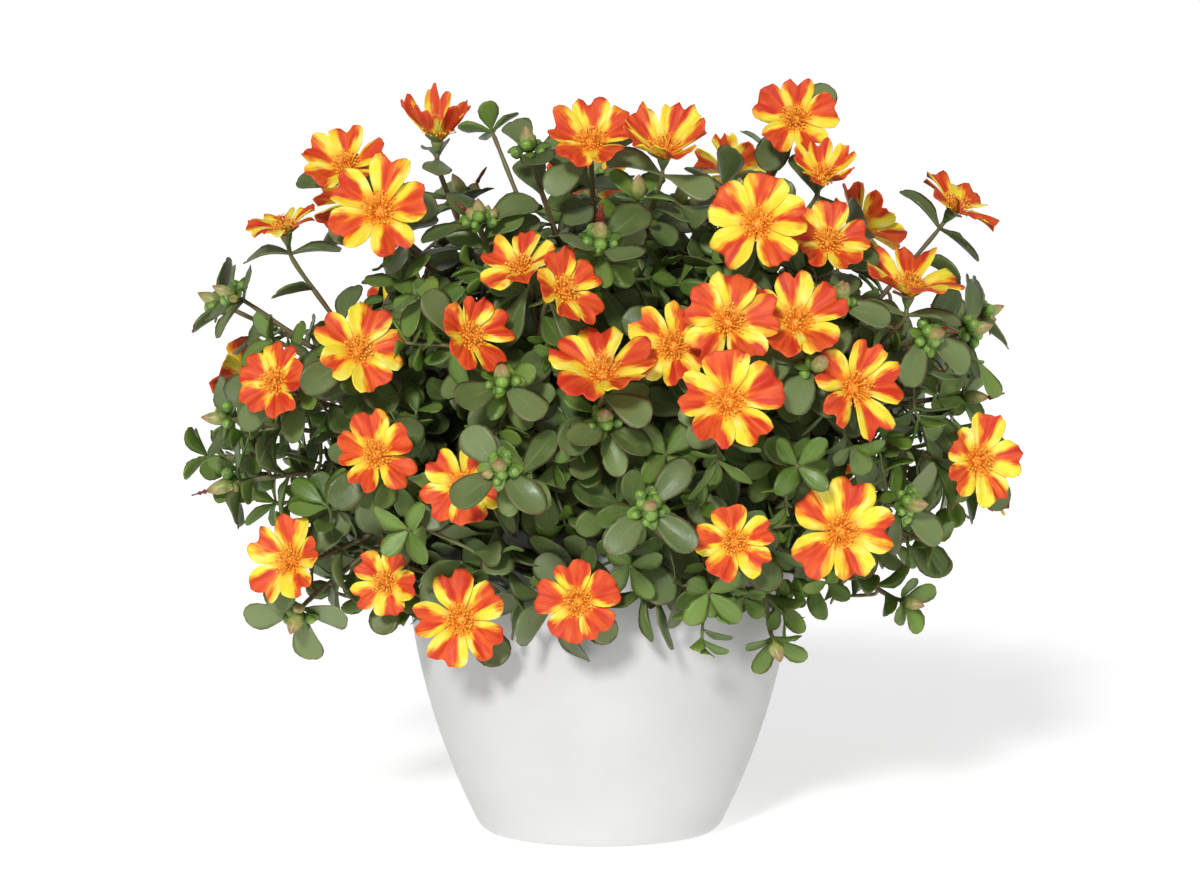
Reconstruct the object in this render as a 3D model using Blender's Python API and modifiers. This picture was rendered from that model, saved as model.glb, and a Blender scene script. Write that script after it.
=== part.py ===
"""A striped portulaca growing in a plain plastic pot, in metres, +Z up.

The pot stands on z = 0 with its axis on the origin, and the plant's front faces -Y.
The soil fills the pot. Each leafy stem stands in a hole in the soil and is one solid
with its branches, leaves and buds. Each bloom is a solid of its own, seated just off
the end of the branch that carries it.
"""
import math
import random

import bmesh
import bpy
from mathutils import Vector
from mathutils.bvhtree import BVHTree
from mathutils.geometry import interpolate_bezier

OBJECT_NAME = "portulaca_in_pot"
SEED = 20
SEAT_GAP = 0.0003
CLEARANCE = 0.0005
TURN = 2.0 * math.pi

# Pot
POT_HEIGHT = 0.143
POT_RIM_RADIUS = 0.0885
POT_BASE_RADIUS = 0.0535
POT_TAPER = 2.1
POT_WALL = 0.0028
POT_FLOOR = 0.0060
POT_BASE_ROUNDING = 0.0040
TURN_STEPS = 24

# Soil
SOIL_EDGE_HEIGHT = 0.1270
SOIL_CENTRE_HEIGHT = 0.1330
HOLE_RADIUS = 0.0030
HOLE_BOTTOM = 0.1040

# Stems
TRUNK_RADIUS = 0.0023
TRUNK_TOP_RADIUS = 0.0018
BRANCH_RADIUS = 0.0013
TIP_RADIUS = 0.0011
TRUNK_CORNERS = 4
BRANCH_CORNERS = 4
TRUNK_STRAIGHT_TO = 0.1400
TRUNK_POINTS = 5
BRANCH_POINTS = 3
BRANCH_START_TURN = 0.35
FORK_SHARES = (0.0, 0.2, 0.4, 0.6, 0.8)
FORK_SPACING = 0.0045
BRANCH_LEADS = (0.022, 0.012)
TIP_STUB = 0.006
BOWS = (0.0, 0.012, 0.024, 0.036, 0.050)

# Leaves
LEAF_LENGTH = 0.0255
LEAF_WIDTH = 0.0145
LEAF_THICKNESS = 0.0015
SMALL_LEAF = 0.68
GOLDEN_ANGLE = math.radians(137.5)
LEAF_TRIES = (0, 8, -8, 16, -16, 25, -25, 34, -34)
BLOOM_WHORLS = ((0.0035, 2, 1.0, 80), (0.022, 1, 1.0, 65), (0.044, 1, 1.0, 60))
HEAD_WHORLS = ((0.0040, 3, 1.0, 68), (0.024, 1, 1.0, 62))
ROSETTE_WHORLS = ((0.0015, 4, SMALL_LEAF, 55),)

# Joins: edges shorter than the first and triangles lower than the second are cleared
TINY_EDGE = 0.00004
THIN_FACE = 0.000003

# Blooms
PETALS = 5
PETAL_THICKNESS = 0.0010
PETAL_BASE_LIFT = math.radians(38.0)
CALYX_DEPTH = 0.0050
CALYX_RADIUS = 0.0021
BLOOM_SEAT = 0.0040
BLOOM_SHIFTS = (0.0, 0.003, -0.003, 0.006, -0.006, 0.010, -0.010, 0.015, -0.015, 0.021, -0.021)
BACK_PITCH = 14

# Buds
BUD_RADIUS = 0.0033
BUD_SIDES = 4

# The dome that the flowering tips reach, and the eye that the front was measured from
DOME_CENTRE = Vector((0.0, 0.0, 0.190))
DOME_RADII = Vector((0.185, 0.160, 0.155))
EYE = Vector((0.0, -1.70, 0.294))

# Each stem: name, root (azimuth, radius), fork (azimuth, radius, height), its blooms
# and its shoots. Azimuths are degrees round the pot, 0 at the front, 90 at +X.
# A front bloom: across and up as seen at the pot's axis, depth added to the dome's,
# seen radius, yaw and pitch of its face, spin of its petals, lift of its petal tips.
# A front shoot: across, up, added depth, yaw and pitch of its tip, buds in its head.
FRONT_STEMS = (
    ("front_low_left", (-45, 0.050), (-45, 0.088, 0.166), (
        (-0.063, 0.095, 0.010, 0.0215, -5, 5, -15, 8),
        (-0.097, 0.112, 0.020, 0.0160, -15, 8, 20, 10),
        (-0.140, 0.122, 0.000, 0.0200, -25, 12, 5, 10),
    ), (
        (-0.137, 0.096, -0.012, -20, -40, 2),
        (-0.088, 0.135, 0.010, -30, -10, 0),
    )),
    ("front_middle", (-5, 0.050), (-8, 0.090, 0.168), (
        (0.001, 0.207, 0.000, 0.0250, 0, 50, 0, 15),
        (-0.062, 0.156, 0.015, 0.0190, -8, 8, 25, 10),
        (-0.010, 0.103, 0.010, 0.0195, 0, 2, -8, 6),
    ), (
        (-0.045, 0.164, -0.012, -5, 20, 4),
        (0.002, 0.186, 0.014, 5, 25, 3),
        (0.022, 0.146, 0.000, 10, 15, 4),
        (0.014, 0.118, 0.022, 5, -25, 0),
    )),
    ("front_low_right", (38, 0.050), (38, 0.092, 0.166), (
        (0.061, 0.130, 0.005, 0.0185, 0, 4, -10, 8),
        (0.109, 0.135, 0.000, 0.0235, 8, 5, 18, 8),
    ), (
        (0.079, 0.084, 0.030, 20, -45, 1),
        (0.139, 0.103, 0.010, 50, -8, 1),
        (0.050, 0.106, 0.010, 15, -20, 0),
    )),
    ("left", (-75, 0.040), (-68, 0.085, 0.182), (
        (-0.101, 0.170, 0.000, 0.0190, 0, 18, -12, 15),
        (-0.147, 0.203, 0.000, 0.0175, -25, 20, 8, 12),
        (-0.109, 0.217, 0.005, 0.0200, 10, 18, 20, 15),
        (-0.142, 0.273, 0.010, 0.0165, -35, 72, 30, 20),
    ), (
        (-0.166, 0.242, 0.030, -70, 25, 3),
        (-0.170, 0.186, 0.020, -75, 5, 2),
        (-0.168, 0.156, 0.035, -80, -15, 2),
        (-0.150, 0.222, 0.030, -60, 15, 0),
    )),
    ("top_left", (-60, 0.020), (-50, 0.050, 0.225), (
        (-0.114, 0.300, 0.000, 0.0185, -10, 38, 0, 30),
        (-0.073, 0.315, 0.000, 0.0155, 5, 72, 0, 62),
        (-0.099, 0.280, 0.000, 0.0235, 0, 20, 15, 12),
    ), (
        (-0.054, 0.277, 0.030, -10, 60, 5),
        (-0.090, 0.250, 0.040, -20, 40, 0),
        (-0.062, 0.288, 0.110, -60, 60, 2),
    )),
    ("centre_left", (-25, 0.034), (-22, 0.070, 0.200), (
        (-0.058, 0.224, 0.000, 0.0185, 38, 15, 10, 20),
        (-0.036, 0.255, 0.000, 0.0175, -25, 42, 0, 20),
        (-0.016, 0.244, -0.004, 0.0185, 35, 22, -10, 15),
    ), (
        (-0.044, 0.205, 0.004, 0, 35, 4),
        (-0.075, 0.235, 0.020, -20, 30, 0),
    )),
    ("top", (0, 0.010), (0, 0.030, 0.225), (
        (-0.004, 0.311, 0.000, 0.0190, 0, 35, 0, 32),
        (0.029, 0.307, 0.000, 0.0195, 8, 58, 30, 40),
    ), (
        (-0.032, 0.309, 0.030, -15, 60, 3),
        (0.000, 0.268, -0.004, 0, 50, 4),
        (0.017, 0.287, 0.030, 5, 60, 1),
        (-0.014, 0.294, 0.098, -10, 75, 2),
        (0.036, 0.284, 0.080, 20, 70, 2),
        (-0.002, 0.296, 0.165, 180, 70, 2),
    )),
    ("centre_right", (18, 0.034), (18, 0.075, 0.186), (
        (0.058, 0.194, -0.006, 0.0245, 2, 8, -5, 8),
        (0.058, 0.230, -0.002, 0.0215, 12, 18, 12, 12),
        (0.033, 0.219, 0.014, 0.0205, -8, 12, 20, 12),
    ), (
        (0.030, 0.170, 0.016, 5, 10, 0),
    )),
    ("right_middle", (50, 0.038), (42, 0.080, 0.180), (
        (0.088, 0.230, 0.000, 0.0215, 5, 35, 0, 28),
        (0.115, 0.200, 0.000, 0.0230, 28, 5, 12, 10),
    ), (
        (0.098, 0.210, -0.002, 15, 25, 2),
        (0.090, 0.165, 0.006, 15, 10, 0),
    )),
    ("top_right", (50, 0.018), (45, 0.055, 0.220), (
        (0.088, 0.321, 0.000, 0.0185, 0, 16, 5, 10),
        (0.100, 0.296, 0.024, 0.0135, 12, 45, 0, 55),
        (0.071, 0.274, 0.000, 0.0230, -4, 16, 8, 10),
        (0.103, 0.266, 0.010, 0.0190, 10, 25, 10, 15),
    ), (
        (0.108, 0.241, 0.008, 20, 40, 3),
        (0.062, 0.245, 0.030, 10, 45, 0),
        (0.062, 0.288, 0.125, 60, 60, 2),
        (0.036, 0.280, 0.200, 150, 60, 2),
    )),
    ("right", (80, 0.042), (75, 0.085, 0.196), (
        (0.160, 0.282, 0.000, 0.0205, 62, 52, 10, 5),
        (0.139, 0.245, 0.000, 0.0240, 10, 68, 20, 12),
        (0.171, 0.167, 0.000, 0.0200, 22, 8, 15, 15),
    ), (
        (0.149, 0.224, 0.006, 30, 10, 4),
        (0.168, 0.226, 0.030, 55, 15, 4),
        (0.140, 0.147, 0.010, 45, 5, 4),
        (0.166, 0.196, 0.040, 70, 0, 1),
        (0.150, 0.130, 0.030, 60, -10, 0),
    )),
)

# The back isn't in view, so its tips are spread over the dome by angle. A bloom:
# azimuth, height angle, radius, spin. A shoot: azimuth, height angle, buds.
BACK_STEMS = (
    ("back_left", (-125, 0.038), (-122, 0.080, 0.190), (
        (-148, 14, 0.0215, 0),
        (-128, 38, 0.0205, 20),
        (-116, 4, 0.0220, 10),
        (-138, -24, 0.0195, 5),
    ), (
        (-98, 18, 3),
        (-118, -18, 0),
        (-96, -8, 0),
    )),
    ("back_middle", (180, 0.036), (180, 0.062, 0.205), (
        (-178, 42, 0.0215, 10),
        (168, 16, 0.0225, 0),
        (-172, -12, 0.0205, 15),
        (152, 44, 0.0195, 5),
    ), (
        (-166, 24, 4),
        (174, -30, 0),
        (-150, 56, 0),
    )),
    ("back_right", (125, 0.038), (122, 0.080, 0.190), (
        (128, 32, 0.0205, 5),
        (120, 8, 0.0225, 20),
        (102, -12, 0.0195, 0),
        (144, -14, 0.0210, 10),
    ), (
        (142, 16, 4),
        (98, 16, 3),
        (122, -26, 0),
    )),
)


def polar(azimuth, radius, height):
    """A place round the pot's axis, with azimuth 0 at the front."""
    angle = math.radians(azimuth)
    return Vector((radius * math.sin(angle), -radius * math.cos(angle), height))


def pot_radius(height):
    """Outside radius of the pot's wall at a height."""
    drop = (POT_HEIGHT - height) / POT_HEIGHT
    return POT_RIM_RADIUS - (POT_RIM_RADIUS - POT_BASE_RADIUS) * drop ** POT_TAPER


def face_axes(yaw, pitch):
    """Right, up and outward directions of something that faces yaw and pitch."""
    turn = math.radians(yaw)
    rise = math.radians(pitch)
    right = Vector((math.cos(turn), math.sin(turn), 0.0))
    out = Vector((
        math.sin(turn) * math.cos(rise),
        -math.cos(turn) * math.cos(rise),
        math.sin(rise),
    ))
    return right, out.cross(right), out


def seen_place(across, up, depth_shift):
    """The point of the dome that shows at a place in the front view."""
    side = across / DOME_RADII.x
    rise = (up - DOME_CENTRE.z) / DOME_RADII.z
    inside = max(0.0, 1.0 - side * side - rise * rise)
    depth = -DOME_RADII.y * math.sqrt(inside) + depth_shift
    shrink = 1.0 + depth / -EYE.y
    return Vector((across * shrink, depth, EYE.z + (up - EYE.z) * shrink)), shrink


def dome_place(azimuth, height_angle):
    """The point of the dome in a direction from its centre."""
    rise = math.radians(height_angle)
    way = polar(azimuth, math.cos(rise), math.sin(rise))
    return DOME_CENTRE + Vector(a * b for a, b in zip(way, DOME_RADII))


def material(name, colour, roughness):
    made = bpy.data.materials.new(name)
    made.use_nodes = True
    shader = made.node_tree.nodes["Principled BSDF"]
    shader.inputs["Base Color"].default_value = (*colour, 1.0)
    shader.inputs["Roughness"].default_value = roughness
    shader.inputs["Metallic"].default_value = 0.0
    return made


def add_object(name, mesh, collection, finish):
    made = bpy.data.objects.new(name, mesh)
    collection.objects.link(made)
    mesh.materials.clear()
    mesh.materials.append(finish)
    return made


def mesh_from(name, points, faces):
    mesh = bpy.data.meshes.new(name)
    mesh.from_pydata([tuple(p) for p in points], [], faces)
    mesh.update()
    return mesh


class Placed:
    """The solids placed so far, against which a new one is tried."""

    def __init__(self):
        self.items = []

    def add(self, family, key, cage):
        points, faces = cage
        tree = BVHTree.FromPolygons(points, faces)
        self.items.append((family, key, *self.corners(points), tree))

    @staticmethod
    def corners(points):
        low = [min(p[i] for p in points) for i in range(3)]
        high = [max(p[i] for p in points) for i in range(3)]
        return low, high

    def crossed(self, cage, family=None, keys=()):
        """Whether a cage crosses anything outside a family and a few named keys."""
        points, faces = cage
        low, high = self.corners(points)
        tree = None
        for other_family, key, other_low, other_high, other_tree in self.items:
            if other_family == family or key in keys:
                continue
            if any(low[i] > other_high[i] or high[i] < other_low[i] for i in range(3)):
                continue
            if tree is None:
                tree = BVHTree.FromPolygons(points, faces)
            if tree.overlap(other_tree):
                return True
        return False


def tube_cage(path, start_radius, end_radius, sides=6):
    """A tapered tube along a path, as points and faces."""
    points = []
    faces = []
    last = len(path) - 1
    for row, centre in enumerate(path):
        ahead = path[min(row + 1, last)] - path[max(row - 1, 0)]
        frame = ahead.to_track_quat("Z", "Y")
        radius = start_radius + (end_radius - start_radius) * row / last
        for side in range(sides):
            angle = TURN * side / sides
            offset = Vector((radius * math.cos(angle), radius * math.sin(angle), 0.0))
            points.append(centre + frame @ offset)
    for row in range(last):
        for side in range(sides):
            a = row * sides + side
            b = row * sides + (side + 1) % sides
            faces.append((a, b, b + sides, a + sides))
    faces.append(tuple(reversed(range(sides))))
    faces.append(tuple(range(last * sides, last * sides + sides)))
    return points, faces


def tube_mesh(path, start_radius, end_radius, corners):
    """A tapered stem: a curve with a bevel, made a mesh with its caps welded."""
    curve = bpy.data.curves.new("stem_guide", "CURVE")
    curve.dimensions = "3D"
    curve.bevel_depth = 1.0
    curve.bevel_resolution = (corners - 4) // 2
    curve.use_fill_caps = True
    spline = curve.splines.new("POLY")
    spline.points.add(len(path) - 1)
    for index, (point, place) in enumerate(zip(spline.points, path)):
        share = index / (len(path) - 1)
        point.co = (*place, 1.0)
        point.radius = start_radius + (end_radius - start_radius) * share
    guide = bpy.data.objects.new("stem_guide", curve)
    bpy.context.scene.collection.objects.link(guide)
    evaluated = guide.evaluated_get(bpy.context.evaluated_depsgraph_get())
    mesh = bpy.data.meshes.new_from_object(evaluated)
    bpy.data.objects.remove(guide)
    bm = bmesh.new()
    bm.from_mesh(mesh)
    bmesh.ops.remove_doubles(bm, verts=bm.verts, dist=0.00001)
    bmesh.ops.recalc_face_normals(bm, faces=bm.faces)
    bm.to_mesh(mesh)
    bm.free()
    return mesh


def leaf_cage(root, along, upward, length, width, droop, grow=0.0):
    """A spatulate leaf: a thin wedge with a keel, wide near its rounded tip.

    It starts on the stem's axis at root, runs along one direction and has its upper
    face towards the other. Grow makes it fatter all round, to try its clearance.
    """
    side = upward.cross(along).normalized()
    top = along.cross(side).normalized()
    thickness = LEAF_THICKNESS

    def place(share, half, rise):
        sag = -droop * length * share * share
        return root + along * (length * share) + side * half + top * (sag + rise)

    half = 0.5 * width
    edge = 0.0006 + grow
    points = [place(0.0, 0.0, 0.0)]
    for share, spread in ((0.40, 0.58), (0.76, 1.0)):
        points.append(place(share, half * spread + grow, edge))
        points.append(place(share, -half * spread - grow, edge))
        points.append(place(share, 0.0, -thickness - grow))
    points.append(place(1.0, 0.42 * half + grow, edge))
    points.append(place(1.0, -0.42 * half - grow, edge))
    faces = [
        (0, 2, 1), (0, 1, 3), (0, 3, 2),
        (1, 5, 4), (1, 2, 5), (1, 6, 3), (1, 4, 6), (2, 6, 5), (2, 3, 6),
        (4, 8, 7), (4, 5, 8), (4, 7, 6), (6, 7, 8), (5, 6, 8),
    ]
    return points, faces


def bloom_cage(centre, axes, radius, spin, tip_lift, rng, grow=0.0):
    """Five notched petals round a boss of stamens, on a tapered calyx.

    Each petal has two lobes and waved sides, and shares its seams with its
    neighbours as far as the middle of its length.
    """
    right, up, out = axes
    lift_at_tip = math.radians(tip_lift)
    half = 0.5 * PETAL_THICKNESS + grow
    length = radius / math.cos(0.5 * (PETAL_BASE_LIFT + lift_at_tip))

    def place(share, angle, rise=0.0):
        lift = PETAL_BASE_LIFT + (lift_at_tip - PETAL_BASE_LIFT) * share * 0.5
        flat = length * share * math.cos(lift)
        height = length * share * math.sin(lift) + rise - BLOOM_SEAT
        way = right * math.sin(angle) + up * math.cos(angle)
        return centre + way * flat + out * height

    points = []
    faces = []
    inner_top = []
    inner_bottom = []
    seam = []
    foot = []
    turn = math.radians(spin)
    for k in range(PETALS):
        angle = turn + TURN * (k + 0.5) / PETALS
        way = right * math.sin(angle) + up * math.cos(angle)
        for step, ring in enumerate((inner_top, inner_bottom, seam, foot)):
            ring.append(len(points) + step)
        points.append(place(0.24, angle, half))
        points.append(place(0.24, angle, -half))
        points.append(place(0.60 + grow / length, angle))
        points.append(centre + way * (CALYX_RADIUS + grow)
                      - out * (BLOOM_SEAT + CALYX_DEPTH + 0.5 * grow))
    boss = len(points)
    points.append(place(0.0, 0.0, 0.30 * length))
    for k in range(PETALS):
        middle = turn + TURN * k / PETALS
        wave = [rng.uniform(-0.05, 0.05) * length for _ in range(4)]
        core = len(points)
        points.append(place(0.62, middle, half))
        points.append(place(0.62, middle, -half))
        outline = ((0.86, -31, wave[0]), (1.0, -16, wave[1]), (0.89, 0, 0.0),
                   (1.0, 16, wave[2]), (0.86, 31, wave[3]))
        for share, degrees, rise in outline:
            points.append(place(share + grow / length, middle + math.radians(degrees), rise))
        rim = [seam[k - 1]] + list(range(core + 2, core + 7)) + [seam[k]]
        top_loop = [inner_top[k - 1]] + rim + [inner_top[k], inner_top[k - 1]]
        bottom_loop = [inner_bottom[k - 1]] + rim + [inner_bottom[k], inner_bottom[k - 1]]
        faces += [(core, b, a) for a, b in zip(top_loop, top_loop[1:])]
        faces += [(core + 1, a, b) for a, b in zip(bottom_loop, bottom_loop[1:])]
        faces.append((inner_top[k - 1], boss, inner_top[k]))
        faces.append((inner_bottom[k - 1], inner_bottom[k], foot[k]))
        faces.append((inner_bottom[k - 1], foot[k], foot[k - 1]))
    faces.append(tuple(foot))
    return points, faces


def bud_cage(centre, along, radius, length, grow=0.0):
    """A bud or seed cup: a pointed double cone on an axis."""
    frame = along.to_track_quat("Z", "Y")
    radius += 1.5 * grow
    length += 4.0 * grow
    points = [centre - along * (0.45 * length), centre + along * (0.55 * length)]
    for side in range(BUD_SIDES):
        angle = TURN * side / BUD_SIDES
        points.append(centre + frame @ Vector((radius * math.cos(angle), radius * math.sin(angle), 0)))
    faces = []
    for side in range(BUD_SIDES):
        a = 2 + side
        b = 2 + (side + 1) % BUD_SIDES
        faces.append((0, b, a))
        faces.append((1, a, b))
    return points, faces


def trunk_path(root, fork):
    """Straight up through the soil, then over to the fork."""
    base = Vector((root.x, root.y, HOLE_BOTTOM + SEAT_GAP))
    rise = Vector((root.x, root.y, TRUNK_STRAIGHT_TO))
    span = (fork - rise).length
    outward = Vector((fork.x, fork.y, 0.0)).normalized()
    first = rise + Vector((0.0, 0.0, 0.45 * span))
    last = fork - (outward + Vector((0.0, 0.0, 0.8))).normalized() * (0.35 * span)
    return [base] + interpolate_bezier(rise, first, last, fork, TRUNK_POINTS)


def along_path(path, distance_from_end):
    """A point and direction at a distance back from the path's end, or None."""
    left = distance_from_end
    for ahead, here in zip(reversed(path), list(reversed(path))[1:]):
        step = (ahead - here).length
        if left <= step:
            return ahead + (here - ahead) * (left / step), (ahead - here).normalized()
        left -= step
    return None


def branch_path(start, start_way, tip, tip_way, bow, lead):
    """A curve from a fork to a tip, which it meets along the tip's own axis."""
    span = (tip - start).length
    first = start + start_way * (0.30 * span) + bow
    last = tip - tip_way * min(lead, 0.35 * span) + bow * 0.6
    inner = tip - tip_way * TIP_STUB
    return interpolate_bezier(start, first, last, inner, BRANCH_POINTS) + [tip]


def bows(start, tip):
    """Sideways bends to try for a branch, the gentlest first."""
    way = (tip - start).normalized()
    over = (Vector((0.0, 0.0, 1.0)) - way * way.z).normalized()
    aside = way.cross(over)
    for size in BOWS:
        for turn in range(8 if size else 1):
            angle = TURN * turn / 8.0
            yield (over * math.cos(angle) + aside * math.sin(angle)) * size


def union(base, parts_collection):
    """Join a collection of solids to a base solid, and remove the collection's objects."""
    join = base.modifiers.new("join", "BOOLEAN")
    join.operation = "UNION"
    join.operand_type = "COLLECTION"
    join.collection = parts_collection
    join.solver = "MANIFOLD"
    evaluated = base.evaluated_get(bpy.context.evaluated_depsgraph_get())
    mesh = bpy.data.meshes.new_from_object(evaluated)
    base.modifiers.clear()
    base.data = mesh
    clear_slivers(mesh)
    for part in list(parts_collection.objects):
        bpy.data.objects.remove(part)


def clear_slivers(mesh):
    """Collapse the tiny edges, and turn the flattest triangles, that a join leaves."""
    bm = bmesh.new()
    bm.from_mesh(mesh)
    bmesh.ops.triangulate(bm, faces=bm.faces)
    for edge in [e for e in bm.edges if len(e.link_faces) == 4]:
        part_faces(bm, edge)
    for _ in range(4):
        while True:
            tiny = next((e for e in bm.edges if e.calc_length() < TINY_EDGE and loose_enough(e)), None)
            if tiny is None:
                break
            middle = (tiny.verts[0].co + tiny.verts[1].co) / 2.0
            bmesh.ops.pointmerge(bm, verts=list(tiny.verts), merge_co=middle)
        for edge in [longest(face) for face in bm.faces if is_flat(face)]:
            if edge.is_valid and can_turn(bm, edge):
                bmesh.ops.rotate_edges(bm, edges=[edge], use_ccw=False)
    bm.to_mesh(mesh)
    bm.free()


def part_faces(bm, edge):
    """Turn the diagonal of two faces that share their edge with two faces of another side."""
    corner = edge.link_loops[0]
    a, b, c = (loop.vert for loop in (corner, corner.link_loop_next, corner.link_loop_prev))
    others = [face for face in edge.link_faces if face != corner.face]
    mate = max(others, key=lambda face: face.normal.dot(corner.face.normal))
    d = next(vert for vert in mate.verts if vert not in edge.verts)
    bmesh.ops.delete(bm, geom=[corner.face, mate], context="FACES_ONLY")
    bm.faces.new((c, a, d))
    bm.faces.new((d, b, c))


def longest(face):
    return max(face.edges, key=lambda edge: edge.calc_length())


def is_flat(face):
    return 2.0 * face.calc_area() < THIN_FACE * longest(face).calc_length()


def can_turn(bm, edge):
    """Whether the two corners across an edge aren't joined by another edge yet."""
    across = [vert for face in edge.link_faces for vert in face.verts if vert not in edge.verts]
    return len(across) == 2 and across[0] != across[1] and bm.edges.get(across) is None


def loose_enough(edge):
    """Whether an edge can shrink to a point and leave the surface closed."""
    near = [{link.other_vert(vert) for link in vert.link_edges} for vert in edge.verts]
    return len(near[0] & near[1]) == 2


def build_pot(collection, finish):
    """A tapered cup with a flat underside, turned from its profile."""
    rim_half = 0.5 * POT_WALL
    heights = [POT_HEIGHT * share for share in (0.08, 0.30, 0.60)]
    profile = [(0.0, POT_FLOOR), (pot_radius(POT_FLOOR) - 2.2 * POT_WALL, POT_FLOOR)]
    profile += [(pot_radius(z) - POT_WALL, z) for z in heights]
    profile.append((pot_radius(POT_HEIGHT) - POT_WALL, POT_HEIGHT - rim_half))
    profile.append((POT_RIM_RADIUS - rim_half, POT_HEIGHT))
    profile.append((POT_RIM_RADIUS, POT_HEIGHT - rim_half))
    profile += [(pot_radius(z), z) for z in reversed(heights)]
    profile.append((POT_BASE_RADIUS - 0.3 * POT_BASE_ROUNDING, 0.3 * POT_BASE_ROUNDING))
    profile.append((POT_BASE_RADIUS - POT_BASE_ROUNDING, 0.0))
    profile.append((0.0, 0.0))
    return turned("pot", profile, collection, finish)


def turned(name, profile, collection, finish):
    """A solid turned round the Z axis from a profile of radii and heights."""
    mesh = bpy.data.meshes.new(name)
    edges = [(i, i + 1) for i in range(len(profile) - 1)]
    mesh.from_pydata([(x, 0.0, z) for x, z in profile], edges, [])
    made = add_object(name, mesh, collection, finish)
    screw = made.modifiers.new("turn", "SCREW")
    screw.axis = "Z"
    screw.steps = TURN_STEPS
    screw.render_steps = TURN_STEPS
    screw.use_merge_vertices = True
    screw.merge_threshold = 0.00001
    screw.use_normal_calculate = True
    return made


def build_soil(collection, cutters, finish, roots):
    """The soil in the pot, a little heaped, with a plain hole for each stem."""
    shoulder = 0.55
    drop = (SOIL_CENTRE_HEIGHT - SOIL_EDGE_HEIGHT) * shoulder * shoulder
    profile = [
        (0.0, SOIL_CENTRE_HEIGHT),
        (pot_radius(SOIL_EDGE_HEIGHT) * shoulder, SOIL_CENTRE_HEIGHT - drop),
    ]
    inset = POT_WALL + 4.0 * SEAT_GAP
    for height in (SOIL_EDGE_HEIGHT, 0.60 * POT_HEIGHT, 0.30 * POT_HEIGHT):
        profile.append((pot_radius(height) - inset, height))
    base = POT_FLOOR + SEAT_GAP
    profile.append((pot_radius(base) - 3.4 * POT_WALL, base))
    profile.append((0.0, base))
    soil = turned("soil", profile, collection, finish)
    for index, root in enumerate(roots):
        bpy.ops.mesh.primitive_cylinder_add(
            vertices=6, radius=HOLE_RADIUS, depth=0.06,
            location=(root.x, root.y, HOLE_BOTTOM + 0.03))
        cutter = bpy.context.object
        cutter.name = f"hole_{index + 1:02d}"
        cutter.hide_render = True
        cutter.display_type = "WIRE"
        for owner in list(cutter.users_collection):
            owner.objects.unlink(cutter)
        cutters.objects.link(cutter)
    cut = soil.modifiers.new("holes", "BOOLEAN")
    cut.operation = "DIFFERENCE"
    cut.operand_type = "COLLECTION"
    cut.collection = cutters
    cut.solver = "EXACT"
    return soil


def object_cage(thing):
    """The evaluated mesh of an object, as points and faces."""
    evaluated = thing.evaluated_get(bpy.context.evaluated_depsgraph_get())
    mesh = evaluated.to_mesh()
    points = [v.co.copy() for v in mesh.vertices]
    faces = [tuple(p.vertices) for p in mesh.polygons]
    evaluated.to_mesh_clear()
    return points, faces


def plan_tips():
    """Every stem with its blooms and shoots, each placed and faced."""
    stems = []
    for name, root, fork, blooms, shoots in FRONT_STEMS:
        stem = {"name": name, "root": polar(*root, 0.0), "fork": polar(*fork), "tips": []}
        for across, up, shift, radius, yaw, pitch, spin, lift in blooms:
            centre, shrink = seen_place(across, up, shift)
            stem["tips"].append({
                "kind": "bloom", "centre": centre, "axes": face_axes(yaw, pitch),
                "radius": radius * shrink, "spin": spin, "lift": lift,
                "retreat": (centre - EYE).normalized(),
            })
        for across, up, shift, yaw, pitch, buds in shoots:
            centre, _ = seen_place(across, up, shift)
            stem["tips"].append({
                "kind": "shoot", "centre": centre, "axes": face_axes(yaw, pitch), "buds": buds,
            })
        stems.append(stem)
    for name, root, fork, blooms, shoots in BACK_STEMS:
        stem = {"name": name, "root": polar(*root, 0.0), "fork": polar(*fork), "tips": []}
        for azimuth, height_angle, radius, spin in blooms:
            axes = face_axes(azimuth, 0.6 * height_angle + BACK_PITCH)
            stem["tips"].append({
                "kind": "bloom", "centre": dome_place(azimuth, height_angle), "axes": axes,
                "radius": radius, "spin": spin, "lift": 12, "retreat": -axes[2],
            })
        for azimuth, height_angle, buds in shoots:
            axes = face_axes(azimuth, 0.6 * height_angle + BACK_PITCH)
            stem["tips"].append({
                "kind": "shoot", "centre": dome_place(azimuth, height_angle), "axes": axes,
                "buds": buds,
            })
        stems.append(stem)
    return stems


def place_blooms(stems, placed):
    """Settle each bloom, stepping it back or forth until it clears the others."""
    number = 0
    for stem in stems:
        for tip in stem["tips"]:
            if tip["kind"] != "bloom":
                continue
            number += 1
            tip["name"] = f"bloom_{number:02d}"
            tip["seed"] = SEED + number
            for shift in BLOOM_SHIFTS:
                centre = tip["centre"] + tip["retreat"] * shift
                if not placed.crossed(tip_cage(tip, centre, CLEARANCE)):
                    tip["centre"] = centre
                    break
            else:
                raise RuntimeError(f"{tip['name']} has no clear place")
            placed.add(tip["name"], tip["name"], tip_cage(tip, tip["centre"], 0.0))


def tip_cage(tip, centre, grow):
    return bloom_cage(centre, tip["axes"], tip["radius"], tip["spin"], tip["lift"],
                      random.Random(tip["seed"]), grow)


def tip_end(tip):
    """Where a tip's branch ends, and the direction it arrives in."""
    out = tip["axes"][2]
    if tip["kind"] == "bloom":
        return tip["centre"] - out * (BLOOM_SEAT + CALYX_DEPTH + SEAT_GAP), out
    return tip["centre"] - out * (0.6 * BUD_RADIUS), out


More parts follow.
